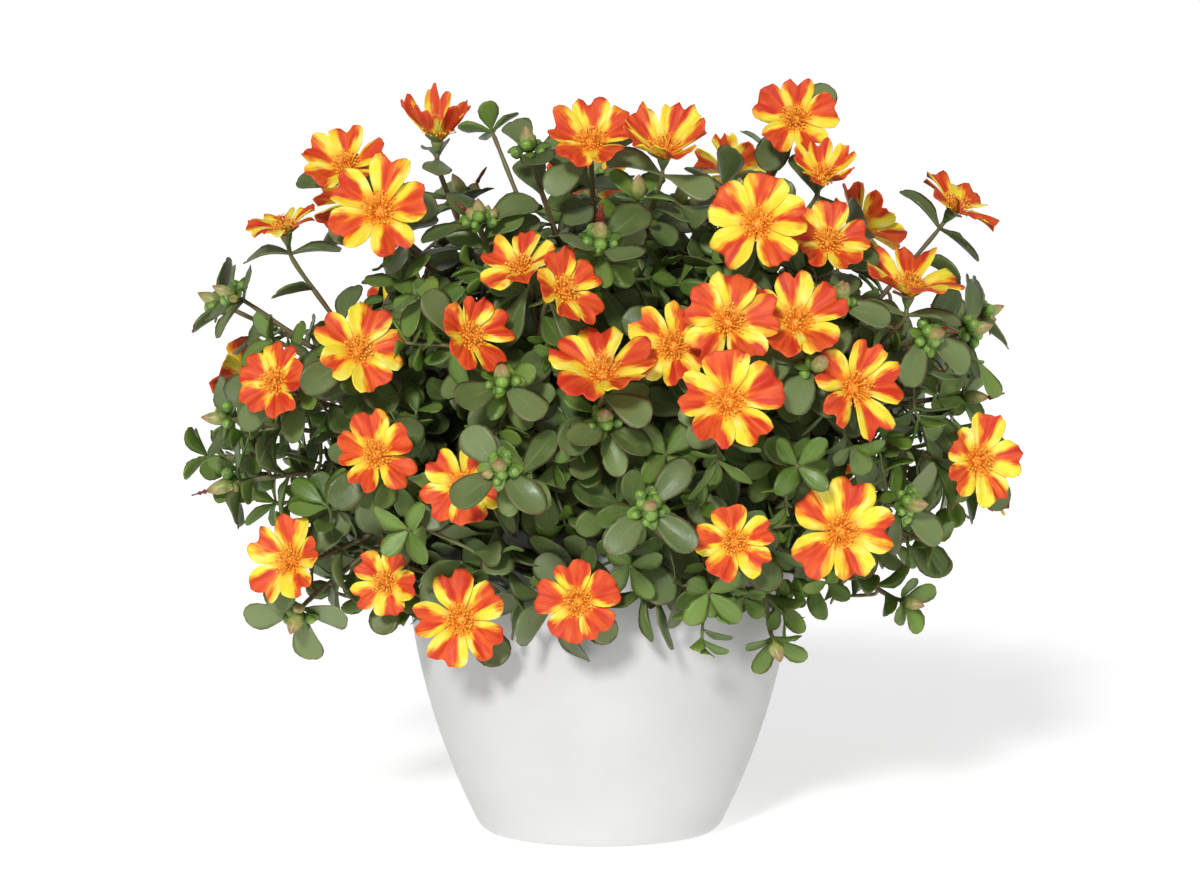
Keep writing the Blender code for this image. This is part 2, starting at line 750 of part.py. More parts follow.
def grow_trunks(stems, placed):
    for stem in stems:
        path = trunk_path(stem["root"], stem["fork"])
        cage = tube_cage(path, TRUNK_RADIUS + CLEARANCE, TRUNK_TOP_RADIUS + CLEARANCE)
        if placed.crossed(cage, keys=("soil",)):
            raise RuntimeError(f"{stem['name']} crosses another stem")
        stem["trunk"] = path
        placed.add(stem["name"], stem["name"] + " trunk",
                   tube_cage(path, TRUNK_RADIUS, TRUNK_TOP_RADIUS))


def grow_branches(stems, placed):
    for stem in stems:
        starts = []
        upper = stem["trunk"][-3:]
        for here, ahead in zip(upper, upper[1:]):
            for share in FORK_SHARES:
                starts.append((here.lerp(ahead, share), (ahead - here).normalized()))
        starts.append((stem["fork"], (upper[-1] - upper[-2]).normalized()))
        for index, tip in enumerate(stem["tips"]):
            end, way = tip_end(tip)
            tip["key"] = f"{stem['name']} {index}"
            starts.sort(key=lambda spot: (spot[0] - end).length)
            path = clear_branch(stem, tip, starts, end, way, placed)
            tip["path"] = path
            kept = [spot for spot in starts if (spot[0] - path[0]).length > FORK_SPACING]
            starts = kept or starts
            tip["tube"] = tube_mesh(path, BRANCH_RADIUS, TIP_RADIUS, BRANCH_CORNERS)
            placed.add(stem["name"], tip["key"], tube_cage(path, BRANCH_RADIUS, TIP_RADIUS))


def clear_branch(stem, tip, starts, end, way, placed):
    """The gentlest branch from the trunk to a tip that crosses no other node."""
    own = (tip.get("name"),)
    tries = [(bow, lead, spot) for bow in bows(starts[0][0], end) for spot in starts[:6]
             for lead in BRANCH_LEADS]
    tries.sort(key=lambda choice: choice[0].length)
    for bow, lead, (start, trunk_way) in tries:
        start_way = (trunk_way * BRANCH_START_TURN + (end - start).normalized()).normalized()
        path = branch_path(start, start_way, end, way, bow, lead)
        fat = tube_cage(path, BRANCH_RADIUS + CLEARANCE, TIP_RADIUS + CLEARANCE)
        thin = tube_cage(path[:-1], BRANCH_RADIUS, TIP_RADIUS)
        if placed.crossed(fat, family=stem["name"], keys=own):
            continue
        if not placed.crossed(thin, family=stem["name"]):
            return path
    raise RuntimeError(f"a tip of {stem['name']} can't be reached: {tip['centre']}")


def leaf_plan(tip):
    """Whorls of a tip: distance from its end, leaves, size, angle from the stem."""
    if tip["kind"] == "bloom":
        return BLOOM_WHORLS[: 3 - tip["seed"] % 2]
    return HEAD_WHORLS if tip["buds"] > 1 else ROSETTE_WHORLS


def grow_leaves(stems, placed):
    """Whorl by whorl, each leaf on a flat side of its branch and clear of the rest."""
    for number, stem in enumerate(stems):
        rng = random.Random(SEED + 100 + number)
        stem["leaves"] = []
        for tip in stem["tips"]:
            bm = bmesh.new()
            bm.from_mesh(tip["tube"])
            skin = BVHTree.FromBMesh(bm)
            bm.free()
            for distance, count, size, spread in leaf_plan(tip):
                spot = along_path(tip["path"], distance)
                if spot is None:
                    break
                grown = 0
                for flat in flat_sides(skin, spot, rng.randrange(BRANCH_CORNERS)):
                    if grown == count:
                        break
                    cage = clear_leaf(stem, tip, spot, flat, size, spread, rng, placed)
                    if cage is not None:
                        stem["leaves"].append(cage)
                        grown += 1


def flat_sides(skin, spot, first):
    """The directions square to a branch's flat sides at a spot on its axis."""
    root, way = spot
    frame = way.to_track_quat("Z", "Y")
    sides = []
    for step in range(4 * BRANCH_CORNERS):
        angle = TURN * step / (4 * BRANCH_CORNERS) + 0.1
        ray = frame @ Vector((math.cos(angle), math.sin(angle), 0.0))
        _, normal, _, _ = skin.ray_cast(root, ray)
        flat = (normal - way * normal.dot(way)).normalized()
        if all(flat.dot(other) < 0.7 for other in sides):
            sides.append(flat)
    half = len(sides) // 2
    order = [0, half, 1, half + 1] if half == 2 else range(len(sides))
    return [sides[(first + index) % len(sides)] for index in order]


def clear_leaf(stem, tip, spot, flat, size, spread, rng, placed):
    """A leaf at a spot that crosses nothing, or None if none of the tries is clear."""
    root, way = spot
    length = LEAF_LENGTH * size * rng.uniform(0.88, 1.08)
    width = LEAF_WIDTH * size * rng.uniform(0.9, 1.1)
    droop = rng.uniform(0.05, 0.22)
    for step in LEAF_TRIES:
        open_angle = math.radians(spread + step)
        along = way * math.cos(open_angle) + flat * math.sin(open_angle)
        upward = way * math.sin(open_angle) - flat * math.cos(open_angle)
        shape = (root, along, upward, length, width, droop)
        points, faces = leaf_cage(*shape, CLEARANCE)
        if placed.crossed((points, faces), family=stem["name"]):
            continue
        points[0] = points[0].lerp(points[3], 0.6)
        if placed.crossed((points, faces), keys=(tip["key"],)):
            continue
        placed.add(stem["name"], tip["key"] + " leaf", leaf_cage(*shape))
        return leaf_cage(*shape)
    return None


def grow_buds(stems, placed):
    """The buds and seed cups that crowd the tips of the shoots."""
    for number, stem in enumerate(stems):
        rng = random.Random(SEED + 200 + number)
        stem["buds"] = []
        for tip in stem["tips"]:
            for k in range(tip.get("buds", 0)):
                shape = bud_shape(tip, k, rng)
                if placed.crossed(bud_cage(*shape, CLEARANCE), family=stem["name"]):
                    continue
                stem["buds"].append(bud_cage(*shape))
                placed.add(stem["name"], tip["key"] + " bud", bud_cage(*shape))


def bud_shape(tip, k, rng):
    """Centre, axis, radius and length of one bud: the first at the tip, others round it."""
    right, up, out = tip["axes"]
    size = BUD_RADIUS * rng.uniform(0.8, 1.0)
    if k == 0:
        return tip["centre"] + out * 0.003, out, size, 4.2 * size
    angle = GOLDEN_ANGLE * k + rng.uniform(-0.2, 0.2)
    way = right * math.cos(angle) + up * math.sin(angle)
    centre = tip["centre"] + way * (0.95 * size) + out * rng.uniform(-0.002, 0.002)
    return centre, (way + out * 0.8).normalized(), size, 2.4 * size


def build_stems(stems, collection, workshop, finish):
    """One solid a stem: its trunk, branches, leaves and buds joined."""
    for stem in stems:
        name = "stem_" + stem["name"]
        trunk = tube_mesh(stem["trunk"], TRUNK_RADIUS, TRUNK_TOP_RADIUS, TRUNK_CORNERS)
        base = add_object(name, trunk, collection, finish)
        for index, tip in enumerate(stem["tips"]):
            add_object(f"branch_{index}", tip["tube"], workshop, finish)
        for cage in stem["buds"] + stem["leaves"]:
            add_object("growth", mesh_from("growth", *cage), workshop, finish)
        union(base, workshop)


def main():
    for thing in list(bpy.data.objects):
        bpy.data.objects.remove(thing)
    scene = bpy.context.scene
    model = bpy.data.collections.new(OBJECT_NAME)
    cutters = bpy.data.collections.new("cutters")
    workshop = bpy.data.collections.new("to_join")
    for made in (model, cutters, workshop):
        scene.collection.children.link(made)

    plastic = material("white_plastic", (0.80, 0.80, 0.80), 0.35)
    peat = material("potting_soil", (0.035, 0.024, 0.017), 0.95)
    green = material("stem_and_leaf", (0.085, 0.160, 0.055), 0.50)
    orange = material("petal", (0.800, 0.230, 0.040), 0.55)

    stems = plan_tips()
    pot = build_pot(model, plastic)
    soil = build_soil(model, cutters, peat, [stem["root"] for stem in stems])
    placed = Placed()
    placed.add("pot", "pot", object_cage(pot))
    placed.add("soil", "soil", object_cage(soil))
    place_blooms(stems, placed)
    grow_trunks(stems, placed)
    grow_branches(stems, placed)
    grow_buds(stems, placed)
    grow_leaves(stems, placed)
    build_stems(stems, model, workshop, green)
    for stem in stems:
        for tip in stem["tips"]:
            if tip["kind"] == "bloom":
                mesh = mesh_from(tip["name"], *tip_cage(tip, tip["centre"], 0.0))
                add_object(tip["name"], mesh, model, orange)
    for thing in model.objects:
        thing.data.shade_smooth()


main()
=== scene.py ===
"""Looks of the striped portulaca in its pot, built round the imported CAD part.

Metres, +Z up, the plant's front faces -Y. The stems, branches, leaves, buds and blooms
grow here from the same tables and rules as the CAD solids, so that each finer piece
keeps the form and place of the node it stands for. More side shoots and leaves then
close up the mound.
"""
import math
import random

import bmesh
import bpy
import numpy as np
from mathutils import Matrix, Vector
from mathutils.bvhtree import BVHTree
from mathutils.geometry import interpolate_bezier


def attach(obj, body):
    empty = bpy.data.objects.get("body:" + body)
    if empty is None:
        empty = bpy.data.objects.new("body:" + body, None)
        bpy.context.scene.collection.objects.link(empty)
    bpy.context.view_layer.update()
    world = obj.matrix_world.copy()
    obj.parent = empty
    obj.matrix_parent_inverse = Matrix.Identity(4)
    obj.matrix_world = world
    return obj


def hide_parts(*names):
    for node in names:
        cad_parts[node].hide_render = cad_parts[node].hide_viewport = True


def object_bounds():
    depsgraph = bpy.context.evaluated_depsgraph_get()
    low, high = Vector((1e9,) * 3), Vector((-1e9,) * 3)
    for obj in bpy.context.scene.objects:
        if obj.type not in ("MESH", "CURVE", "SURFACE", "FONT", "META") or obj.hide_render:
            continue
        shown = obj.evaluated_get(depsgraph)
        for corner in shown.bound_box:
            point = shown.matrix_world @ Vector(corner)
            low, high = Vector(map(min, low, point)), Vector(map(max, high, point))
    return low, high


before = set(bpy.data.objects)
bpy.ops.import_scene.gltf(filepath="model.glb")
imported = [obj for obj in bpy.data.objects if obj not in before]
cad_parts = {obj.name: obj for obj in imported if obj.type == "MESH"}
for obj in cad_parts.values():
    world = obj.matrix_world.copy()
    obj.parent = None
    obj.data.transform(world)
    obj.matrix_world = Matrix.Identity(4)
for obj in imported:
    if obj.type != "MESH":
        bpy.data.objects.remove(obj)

CAD_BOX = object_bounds()

SEED = 20
SEAT_GAP = 0.0003
CLEARANCE = 0.0005
TURN = 2.0 * math.pi

# Pot and soil
POT_HEIGHT = 0.143
POT_RIM_RADIUS = 0.0885
POT_BASE_RADIUS = 0.0535
POT_TAPER = 2.1
POT_WALL = 0.0028
POT_FLOOR = 0.0060
POT_BASE_ROUNDING = 0.0040
SOIL_EDGE_HEIGHT = 0.1270
SOIL_CENTRE_HEIGHT = 0.1330
HOLE_BOTTOM = 0.1040
CENTRE_RING = 0.010
POT_SIDES = 144
OUTER_RINGS = 34
INNER_RINGS = 24
SOIL_SIDES = 96
SOIL_ROUGHNESS = 0.0011
GRAINS = 330
GRAIN_SIZES = (0.0008, 0.0026)
PERLITE_EVERY = 9

# Stems
TRUNK_RADIUS = 0.0023
TRUNK_TOP_RADIUS = 0.0018
BRANCH_RADIUS = 0.0013
TIP_RADIUS = 0.0011
TWIG_RADIUS = 0.0009
BRANCH_CORNERS = 4
TRUNK_STRAIGHT_TO = 0.1400
TRUNK_POINTS = 5
BRANCH_POINTS = 3
BRANCH_START_TURN = 0.35
FORK_SHARES = (0.0, 0.2, 0.4, 0.6, 0.8)
FORK_SPACING = 0.0045
BRANCH_LEADS = (0.022, 0.012)
TIP_STUB = 0.006
BOWS = (0.0, 0.012, 0.024, 0.036, 0.050)
TRUNK_ROUNDING = 0.012
BRANCH_ROUNDING = 0.010
TWIG_ROUNDING = 0.006
BRANCH_SPACING = 0.005
TWIG_SPACING = 0.004

# Leaves
LEAF_LENGTH = 0.0255
LEAF_WIDTH = 0.0145
LEAF_THICKNESS = 0.0015
LEAF_EDGE = 0.0006
LEAF_BODY = 0.0014
LEAF_GROOVE = 0.0005
RIB_DEPTH = 0.00018
SMALL_LEAF = 0.68
GOLDEN_ANGLE = math.radians(137.5)
LEAF_TRIES = (0, 8, -8, 16, -16, 25, -25, 34, -34)
BLOOM_WHORLS = ((0.0035, 2, 1.0, 80), (0.022, 1, 1.0, 65), (0.044, 1, 1.0, 60))
HEAD_WHORLS = ((0.0040, 3, 1.0, 68), (0.024, 1, 1.0, 62))
ROSETTE_WHORLS = ((0.0015, 4, SMALL_LEAF, 55),)

# Blooms and buds
PETALS = 5
PETAL_THICKNESS = 0.0010
PETAL_FOOT_THICKNESS = 0.0009
PETAL_THINNING = 0.0005
PETAL_LAP = 0.0007
PETAL_BASE_LIFT = math.radians(38.0)
CALYX_DEPTH = 0.0050
CALYX_RADIUS = 0.0021
BLOOM_SEAT = 0.0040
BLOOM_SHIFTS = (0.0, 0.003, -0.003, 0.006, -0.006, 0.010, -0.010, 0.015, -0.015, 0.021, -0.021)
BACK_PITCH = 14
BACK_LIFT = 12
BUD_RADIUS = 0.0033
BUD_SIDES = 4
BUD_RISE = 0.003
BUD_STAGGER = 0.002
WITHERED_LENGTH = 0.0045
WITHERED_DRIFT = 0.003
WITHERED_RADIUS = 0.0015
STAMENS = 72
STYLE_ARMS = 6
FILAMENT_RADII = np.array([0.00026, 0.00020, 0.00015])
ANTHER_PLACES = np.array([-0.0003, 0.0002, 0.0008])
ANTHER_RADII = np.array([0.00022, 0.00052, 0.00018])
STYLE_RADII = (0.00030, 0.00024, 0.00016)
STYLE_CURL = 0.0024
FILAMENT_OFFSET = 0.0006
CUP_RADII = np.array([0.0012, 0.0016, 0.0024, 0.0029, 0.0018])
CUP_FOOT = np.array([0.0, 0.0012, 0.0030])
CUP_BRIM = np.array([-0.0002, 0.0008])
SEPAL_FROM = 0.10
SEPAL_TO = 0.44
SEPALS = 2
SEPAL_DROP = 0.0014
SEPAL_STEP = 0.0004
SEPAL_THICKNESS = 0.0006
HEAD_DEPTH = 0.003
BRACT_STALK = 0.006
BRACTS = 4
BRACT_LENGTH = 0.0095
BRACT_WIDTH = 0.0055

# The dome that the flowering tips reach, and the eye that the front was measured from
DOME_CENTRE = Vector((0.0, 0.0, 0.190))
DOME_RADII = Vector((0.185, 0.160, 0.155))
EYE = Vector((0.0, -1.70, 0.294))

# Camera, floor and lights; a light is its direction, strength and spread in degrees
AIM = Vector((0.0, 0.0, 0.1760))
FOCAL_LENGTH = 113.3
FLOOR_RADIUS = 14.0
FLOOR_DROP = 0.0004
FLOOR_GLOW = 0.53
KEY_LIGHT = ((-0.22, -1.0, 0.44), 2.35, 8.0)
FILL_LIGHT = ((0.50, -1.0, 0.45), 0.30, 60.0)
ROOM_LIGHT = 0.23
BACKDROP_LIGHT = 1.02

# Each stem: name, root (azimuth, radius), fork (azimuth, radius, height), its blooms
# and its shoots. Azimuths are degrees round the pot, 0 at the front, 90 at +X.
# A front bloom: across and up as seen at the pot's axis, depth added to the dome's,
# seen radius, yaw and pitch of its face, spin of its petals, lift of its petal tips.
# A front shoot: across, up, added depth, yaw and pitch of its tip, buds in its head.
FRONT_STEMS = (
    ("front_low_left", (-45, 0.050), (-45, 0.088, 0.166), (
        (-0.063, 0.095, 0.010, 0.0215, -5, 5, -15, 8),
        (-0.097, 0.112, 0.020, 0.0160, -15, 8, 20, 10),
        (-0.140, 0.122, 0.000, 0.0200, -25, 12, 5, 10),
    ), (
        (-0.137, 0.096, -0.012, -20, -40, 2),
        (-0.088, 0.135, 0.010, -30, -10, 0),
    )),
    ("front_middle", (-5, 0.050), (-8, 0.090, 0.168), (
        (0.001, 0.207, 0.000, 0.0250, 0, 50, 0, 15),
        (-0.062, 0.156, 0.015, 0.0190, -8, 8, 25, 10),
        (-0.010, 0.103, 0.010, 0.0195, 0, 2, -8, 6),
    ), (
        (-0.045, 0.164, -0.012, -5, 20, 4),
        (0.002, 0.186, 0.014, 5, 25, 3),
        (0.022, 0.146, 0.000, 10, 15, 4),
        (0.014, 0.118, 0.022, 5, -25, 0),
    )),
    ("front_low_right", (38, 0.050), (38, 0.092, 0.166), (
        (0.061, 0.130, 0.005, 0.0185, 0, 4, -10, 8),
        (0.109, 0.135, 0.000, 0.0235, 8, 5, 18, 8),
    ), (
        (0.079, 0.084, 0.030, 20, -45, 1),
        (0.139, 0.103, 0.010, 50, -8, 1),
        (0.050, 0.106, 0.010, 15, -20, 0),
    )),
    ("left", (-75, 0.040), (-68, 0.085, 0.182), (
        (-0.101, 0.170, 0.000, 0.0190, 0, 18, -12, 15),
        (-0.147, 0.203, 0.000, 0.0175, -25, 20, 8, 12),
        (-0.109, 0.217, 0.005, 0.0200, 10, 18, 20, 15),
        (-0.142, 0.273, 0.010, 0.0165, -35, 72, 30, 20),
    ), (
        (-0.166, 0.242, 0.030, -70, 25, 3),
        (-0.170, 0.186, 0.020, -75, 5, 2),
        (-0.168, 0.156, 0.035, -80, -15, 2),
        (-0.150, 0.222, 0.030, -60, 15, 0),
    )),
    ("top_left", (-60, 0.020), (-50, 0.050, 0.225), (
        (-0.114, 0.300, 0.000, 0.0185, -10, 38, 0, 30),
        (-0.073, 0.315, 0.000, 0.0155, 5, 72, 0, 62),
        (-0.099, 0.280, 0.000, 0.0235, 0, 20, 15, 12),
    ), (
        (-0.054, 0.277, 0.030, -10, 60, 5),
        (-0.090, 0.250, 0.040, -20, 40, 0),
        (-0.062, 0.288, 0.110, -60, 60, 2),
    )),
    ("centre_left", (-25, 0.034), (-22, 0.070, 0.200), (
        (-0.058, 0.224, 0.000, 0.0185, 38, 15, 10, 20),
        (-0.036, 0.255, 0.000, 0.0175, -25, 42, 0, 20),
        (-0.016, 0.244, -0.004, 0.0185, 35, 22, -10, 15),
    ), (
        (-0.044, 0.205, 0.004, 0, 35, 4),
        (-0.075, 0.235, 0.020, -20, 30, 0),
    )),
    ("top", (0, 0.010), (0, 0.030, 0.225), (
        (-0.004, 0.311, 0.000, 0.0190, 0, 35, 0, 32),
        (0.029, 0.307, 0.000, 0.0195, 8, 58, 30, 40),
    ), (
        (-0.032, 0.309, 0.030, -15, 60, 3),
        (0.000, 0.268, -0.004, 0, 50, 4),
        (0.017, 0.287, 0.030, 5, 60, 1),
        (-0.014, 0.294, 0.098, -10, 75, 2),
        (0.036, 0.284, 0.080, 20, 70, 2),
        (-0.002, 0.296, 0.165, 180, 70, 2),
    )),
    ("centre_right", (18, 0.034), (18, 0.075, 0.186), (
        (0.058, 0.194, -0.006, 0.0245, 2, 8, -5, 8),
        (0.058, 0.230, -0.002, 0.0215, 12, 18, 12, 12),
        (0.033, 0.219, 0.014, 0.0205, -8, 12, 20, 12),
    ), (
        (0.030, 0.170, 0.016, 5, 10, 0),
    )),
    ("right_middle", (50, 0.038), (42, 0.080, 0.180), (
        (0.088, 0.230, 0.000, 0.0215, 5, 35, 0, 28),
        (0.115, 0.200, 0.000, 0.0230, 28, 5, 12, 10),
    ), (
        (0.098, 0.210, -0.002, 15, 25, 2),
        (0.090, 0.165, 0.006, 15, 10, 0),
    )),
    ("top_right", (50, 0.018), (45, 0.055, 0.220), (
        (0.088, 0.321, 0.000, 0.0185, 0, 16, 5, 10),
        (0.100, 0.296, 0.024, 0.0135, 12, 45, 0, 55),
        (0.071, 0.274, 0.000, 0.0230, -4, 16, 8, 10),
        (0.103, 0.266, 0.010, 0.0190, 10, 25, 10, 15),
    ), (
        (0.108, 0.241, 0.008, 20, 40, 3),
        (0.062, 0.245, 0.030, 10, 45, 0),
        (0.062, 0.288, 0.125, 60, 60, 2),
        (0.036, 0.280, 0.200, 150, 60, 2),
    )),
    ("right", (80, 0.042), (75, 0.085, 0.196), (
        (0.160, 0.282, 0.000, 0.0205, 62, 52, 10, 5),
        (0.139, 0.245, 0.000, 0.0240, 10, 68, 20, 12),
        (0.171, 0.167, 0.000, 0.0200, 22, 8, 15, 15),
    ), (
        (0.149, 0.224, 0.006, 30, 10, 4),
        (0.168, 0.226, 0.030, 55, 15, 4),
        (0.140, 0.147, 0.010, 45, 5, 4),
        (0.166, 0.196, 0.040, 70, 0, 1),
        (0.150, 0.130, 0.030, 60, -10, 0),
    )),
)

# The back isn't in view, so its tips are spread over the dome by angle. A bloom:
# azimuth, height angle, radius, spin. A shoot: azimuth, height angle, buds.
BACK_STEMS = (
    ("back_left", (-125, 0.038), (-122, 0.080, 0.190), (
        (-148, 14, 0.0215, 0),
        (-128, 38, 0.0205, 20),
        (-116, 4, 0.0220, 10),
        (-138, -24, 0.0195, 5),
    ), (
        (-98, 18, 3),
        (-118, -18, 0),
        (-96, -8, 0),
    )),
    ("back_middle", (180, 0.036), (180, 0.062, 0.205), (
        (-178, 42, 0.0215, 10),
        (168, 16, 0.0225, 0),
        (-172, -12, 0.0205, 15),
        (152, 44, 0.0195, 5),
    ), (
        (-166, 24, 4),
        (174, -30, 0),
        (-150, 56, 0),
    )),
    ("back_right", (125, 0.038), (122, 0.080, 0.190), (
        (128, 32, 0.0205, 5),
        (120, 8, 0.0225, 20),
        (102, -12, 0.0195, 0),
        (144, -14, 0.0210, 10),
    ), (
        (142, 16, 4),
        (98, 16, 3),
        (122, -26, 0),
    )),
)

# How far red spreads over a bloom's petals, 0 for mostly yellow, 1 for mostly red, by the
# bloom's number. The rest have the usual share.
USUAL_RED = 0.55
BLOOM_RED = {6: 0.85, 8: 0.4, 9: 0.75, 10: 0.8, 11: 0.35, 14: 0.75, 15: 0.45, 16: 0.8, 17: 0.45,
             19: 0.7, 21: 0.5, 23: 0.45, 28: 0.35, 30: 0.6, 31: 0.6, 32: 0.45}

# Materials of a leafy stem, of a bloom and of the soil, by place in their lists
BARK, LEAF, BUD = 0, 1, 2
PETAL, STAMEN, GREEN = 0, 1, 2
PEAT, PERLITE = 0, 1


def polar(azimuth, radius, height):
    """A place round the pot's axis, with azimuth 0 at the front."""
    angle = math.radians(azimuth)
    return Vector((radius * math.sin(angle), -radius * math.cos(angle), height))


def pot_radius(height):
    """Outside radius of the pot's wall at a height."""
    drop = (POT_HEIGHT - height) / POT_HEIGHT
    return POT_RIM_RADIUS - (POT_RIM_RADIUS - POT_BASE_RADIUS) * drop ** POT_TAPER


def face_axes(yaw, pitch):
    """Right, up and outward directions of something that faces yaw and pitch."""
    turn = math.radians(yaw)
    rise = math.radians(pitch)
    right = Vector((math.cos(turn), math.sin(turn), 0.0))
    out = Vector((
        math.sin(turn) * math.cos(rise),
        -math.cos(turn) * math.cos(rise),
        math.sin(rise),
    ))
    return right, out.cross(right), out


def round_face(right, up, angle):
    """The direction at an angle round a face, from its right."""
    return right * math.cos(angle) + up * math.sin(angle)


def seen_place(across, up, depth_shift):
    """The point of the dome that shows at a place in the front view."""
    side = across / DOME_RADII.x
    rise = (up - DOME_CENTRE.z) / DOME_RADII.z
    inside = max(0.0, 1.0 - side * side - rise * rise)
    depth = -DOME_RADII.y * math.sqrt(inside) + depth_shift
    shrink = 1.0 + depth / -EYE.y
    return Vector((across * shrink, depth, EYE.z + (up - EYE.z) * shrink)), shrink


def dome_place(azimuth, height_angle, share=1.0):
    """The point in a direction from the dome's centre, at a share of the way out."""
    rise = math.radians(height_angle)
    way = polar(azimuth, math.cos(rise), math.sin(rise))
    return DOME_CENTRE + Vector(a * b for a, b in zip(way, DOME_RADII)) * share


class Placed:
    """The solids placed so far, against which a new one is tried."""

    def __init__(self, capacity=8192):
        self.items = []
        self.faces = []
        self.low = np.empty((capacity, 3))
        self.high = np.empty((capacity, 3))

    def add(self, family, key, cage):
        """Take in a cage, under its node's family and its own key."""
        points, faces = cage
        spots = np.array([tuple(p) for p in points])
        self.low[len(self.items)] = spots.min(0)
        self.high[len(self.items)] = spots.max(0)
        self.items.append((family, key, BVHTree.FromPolygons(points, faces)))

    def crossed(self, cage, family=None, keys=()):
        """Whether a cage crosses anything outside a family and a few named keys."""
        points, faces = cage
        spots = np.array([tuple(p) for p in points])
        count = len(self.items)
        near = (self.low[:count] <= spots.max(0)) & (self.high[:count] >= spots.min(0))
        tree = None
        for index in np.nonzero(near.all(1))[0]:
            other_family, key, other_tree = self.items[index]
            if other_family == family or key in keys:
                continue
            if tree is None:
                tree = BVHTree.FromPolygons(points, faces)
            if tree.overlap(other_tree):
                return True
        return False


def tube_cage(path, start_radius, end_radius, sides=6):
    """A tapered tube along a path, as points and faces."""
    points = []
    faces = []
    last = len(path) - 1
    for row, centre in enumerate(path):
        ahead = path[min(row + 1, last)] - path[max(row - 1, 0)]
        turned = ahead.to_track_quat("Z", "Y")
        radius = start_radius + (end_radius - start_radius) * row / last
        for side in range(sides):
            angle = TURN * side / sides
            offset = Vector((radius * math.cos(angle), radius * math.sin(angle), 0.0))
            points.append(centre + turned @ offset)
    for row in range(last):
        for side in range(sides):
            a = row * sides + side
            b = row * sides + (side + 1) % sides
            faces.append((a, b, b + sides, a + sides))
    faces.append(tuple(reversed(range(sides))))
    faces.append(tuple(range(last * sides, last * sides + sides)))
    return points, faces


def tube_skin(path, start_radius, end_radius):
    """The four-sided tube of a CAD branch, to find its flat sides by."""
    curve = bpy.data.curves.new("stem_guide", "CURVE")
    curve.dimensions = "3D"
    curve.bevel_depth = 1.0
    curve.bevel_resolution = 0
    curve.use_fill_caps = True
    spline = curve.splines.new("POLY")
    spline.points.add(len(path) - 1)
    for index, (point, place) in enumerate(zip(spline.points, path)):
        share = index / (len(path) - 1)
        point.co = (*place, 1.0)
        point.radius = start_radius + (end_radius - start_radius) * share
    guide = bpy.data.objects.new("stem_guide", curve)
    bpy.context.scene.collection.objects.link(guide)
    evaluated = guide.evaluated_get(bpy.context.evaluated_depsgraph_get())
    mesh = bpy.data.meshes.new_from_object(evaluated)
    bpy.data.objects.remove(guide)
    bpy.data.curves.remove(curve)
    bm = bmesh.new()
    bm.from_mesh(mesh)
    bpy.data.meshes.remove(mesh)
    bmesh.ops.remove_doubles(bm, verts=bm.verts, dist=0.00001)
    bmesh.ops.recalc_face_normals(bm, faces=bm.faces)
    skin = BVHTree.FromBMesh(bm)
    bm.free()
    return skin


def leaf_cage(root, along, upward, length, width, droop, grow=0.0):
    """A leaf's simple solid, as in the CAD part, to try its clearance."""
    side = upward.cross(along).normalized()
    top = along.cross(side).normalized()
    thickness = LEAF_THICKNESS

    def place(share, half, rise):
        sag = -droop * length * share * share
        return root + along * (length * share) + side * half + top * (sag + rise)

    half = 0.5 * width
    edge = LEAF_EDGE + grow
    points = [place(0.0, 0.0, 0.0)]
    for share, spread in ((0.40, 0.58), (0.76, 1.0)):
        points.append(place(share, half * spread + grow, edge))
        points.append(place(share, -half * spread - grow, edge))
        points.append(place(share, 0.0, -thickness - grow))
    points.append(place(1.0, 0.42 * half + grow, edge))
    points.append(place(1.0, -0.42 * half - grow, edge))
    faces = [
        (0, 2, 1), (0, 1, 3), (0, 3, 2),
        (1, 5, 4), (1, 2, 5), (1, 6, 3), (1, 4, 6), (2, 6, 5), (2, 3, 6),
        (4, 8, 7), (4, 5, 8), (4, 7, 6), (6, 7, 8), (5, 6, 8),
    ]
    return points, faces


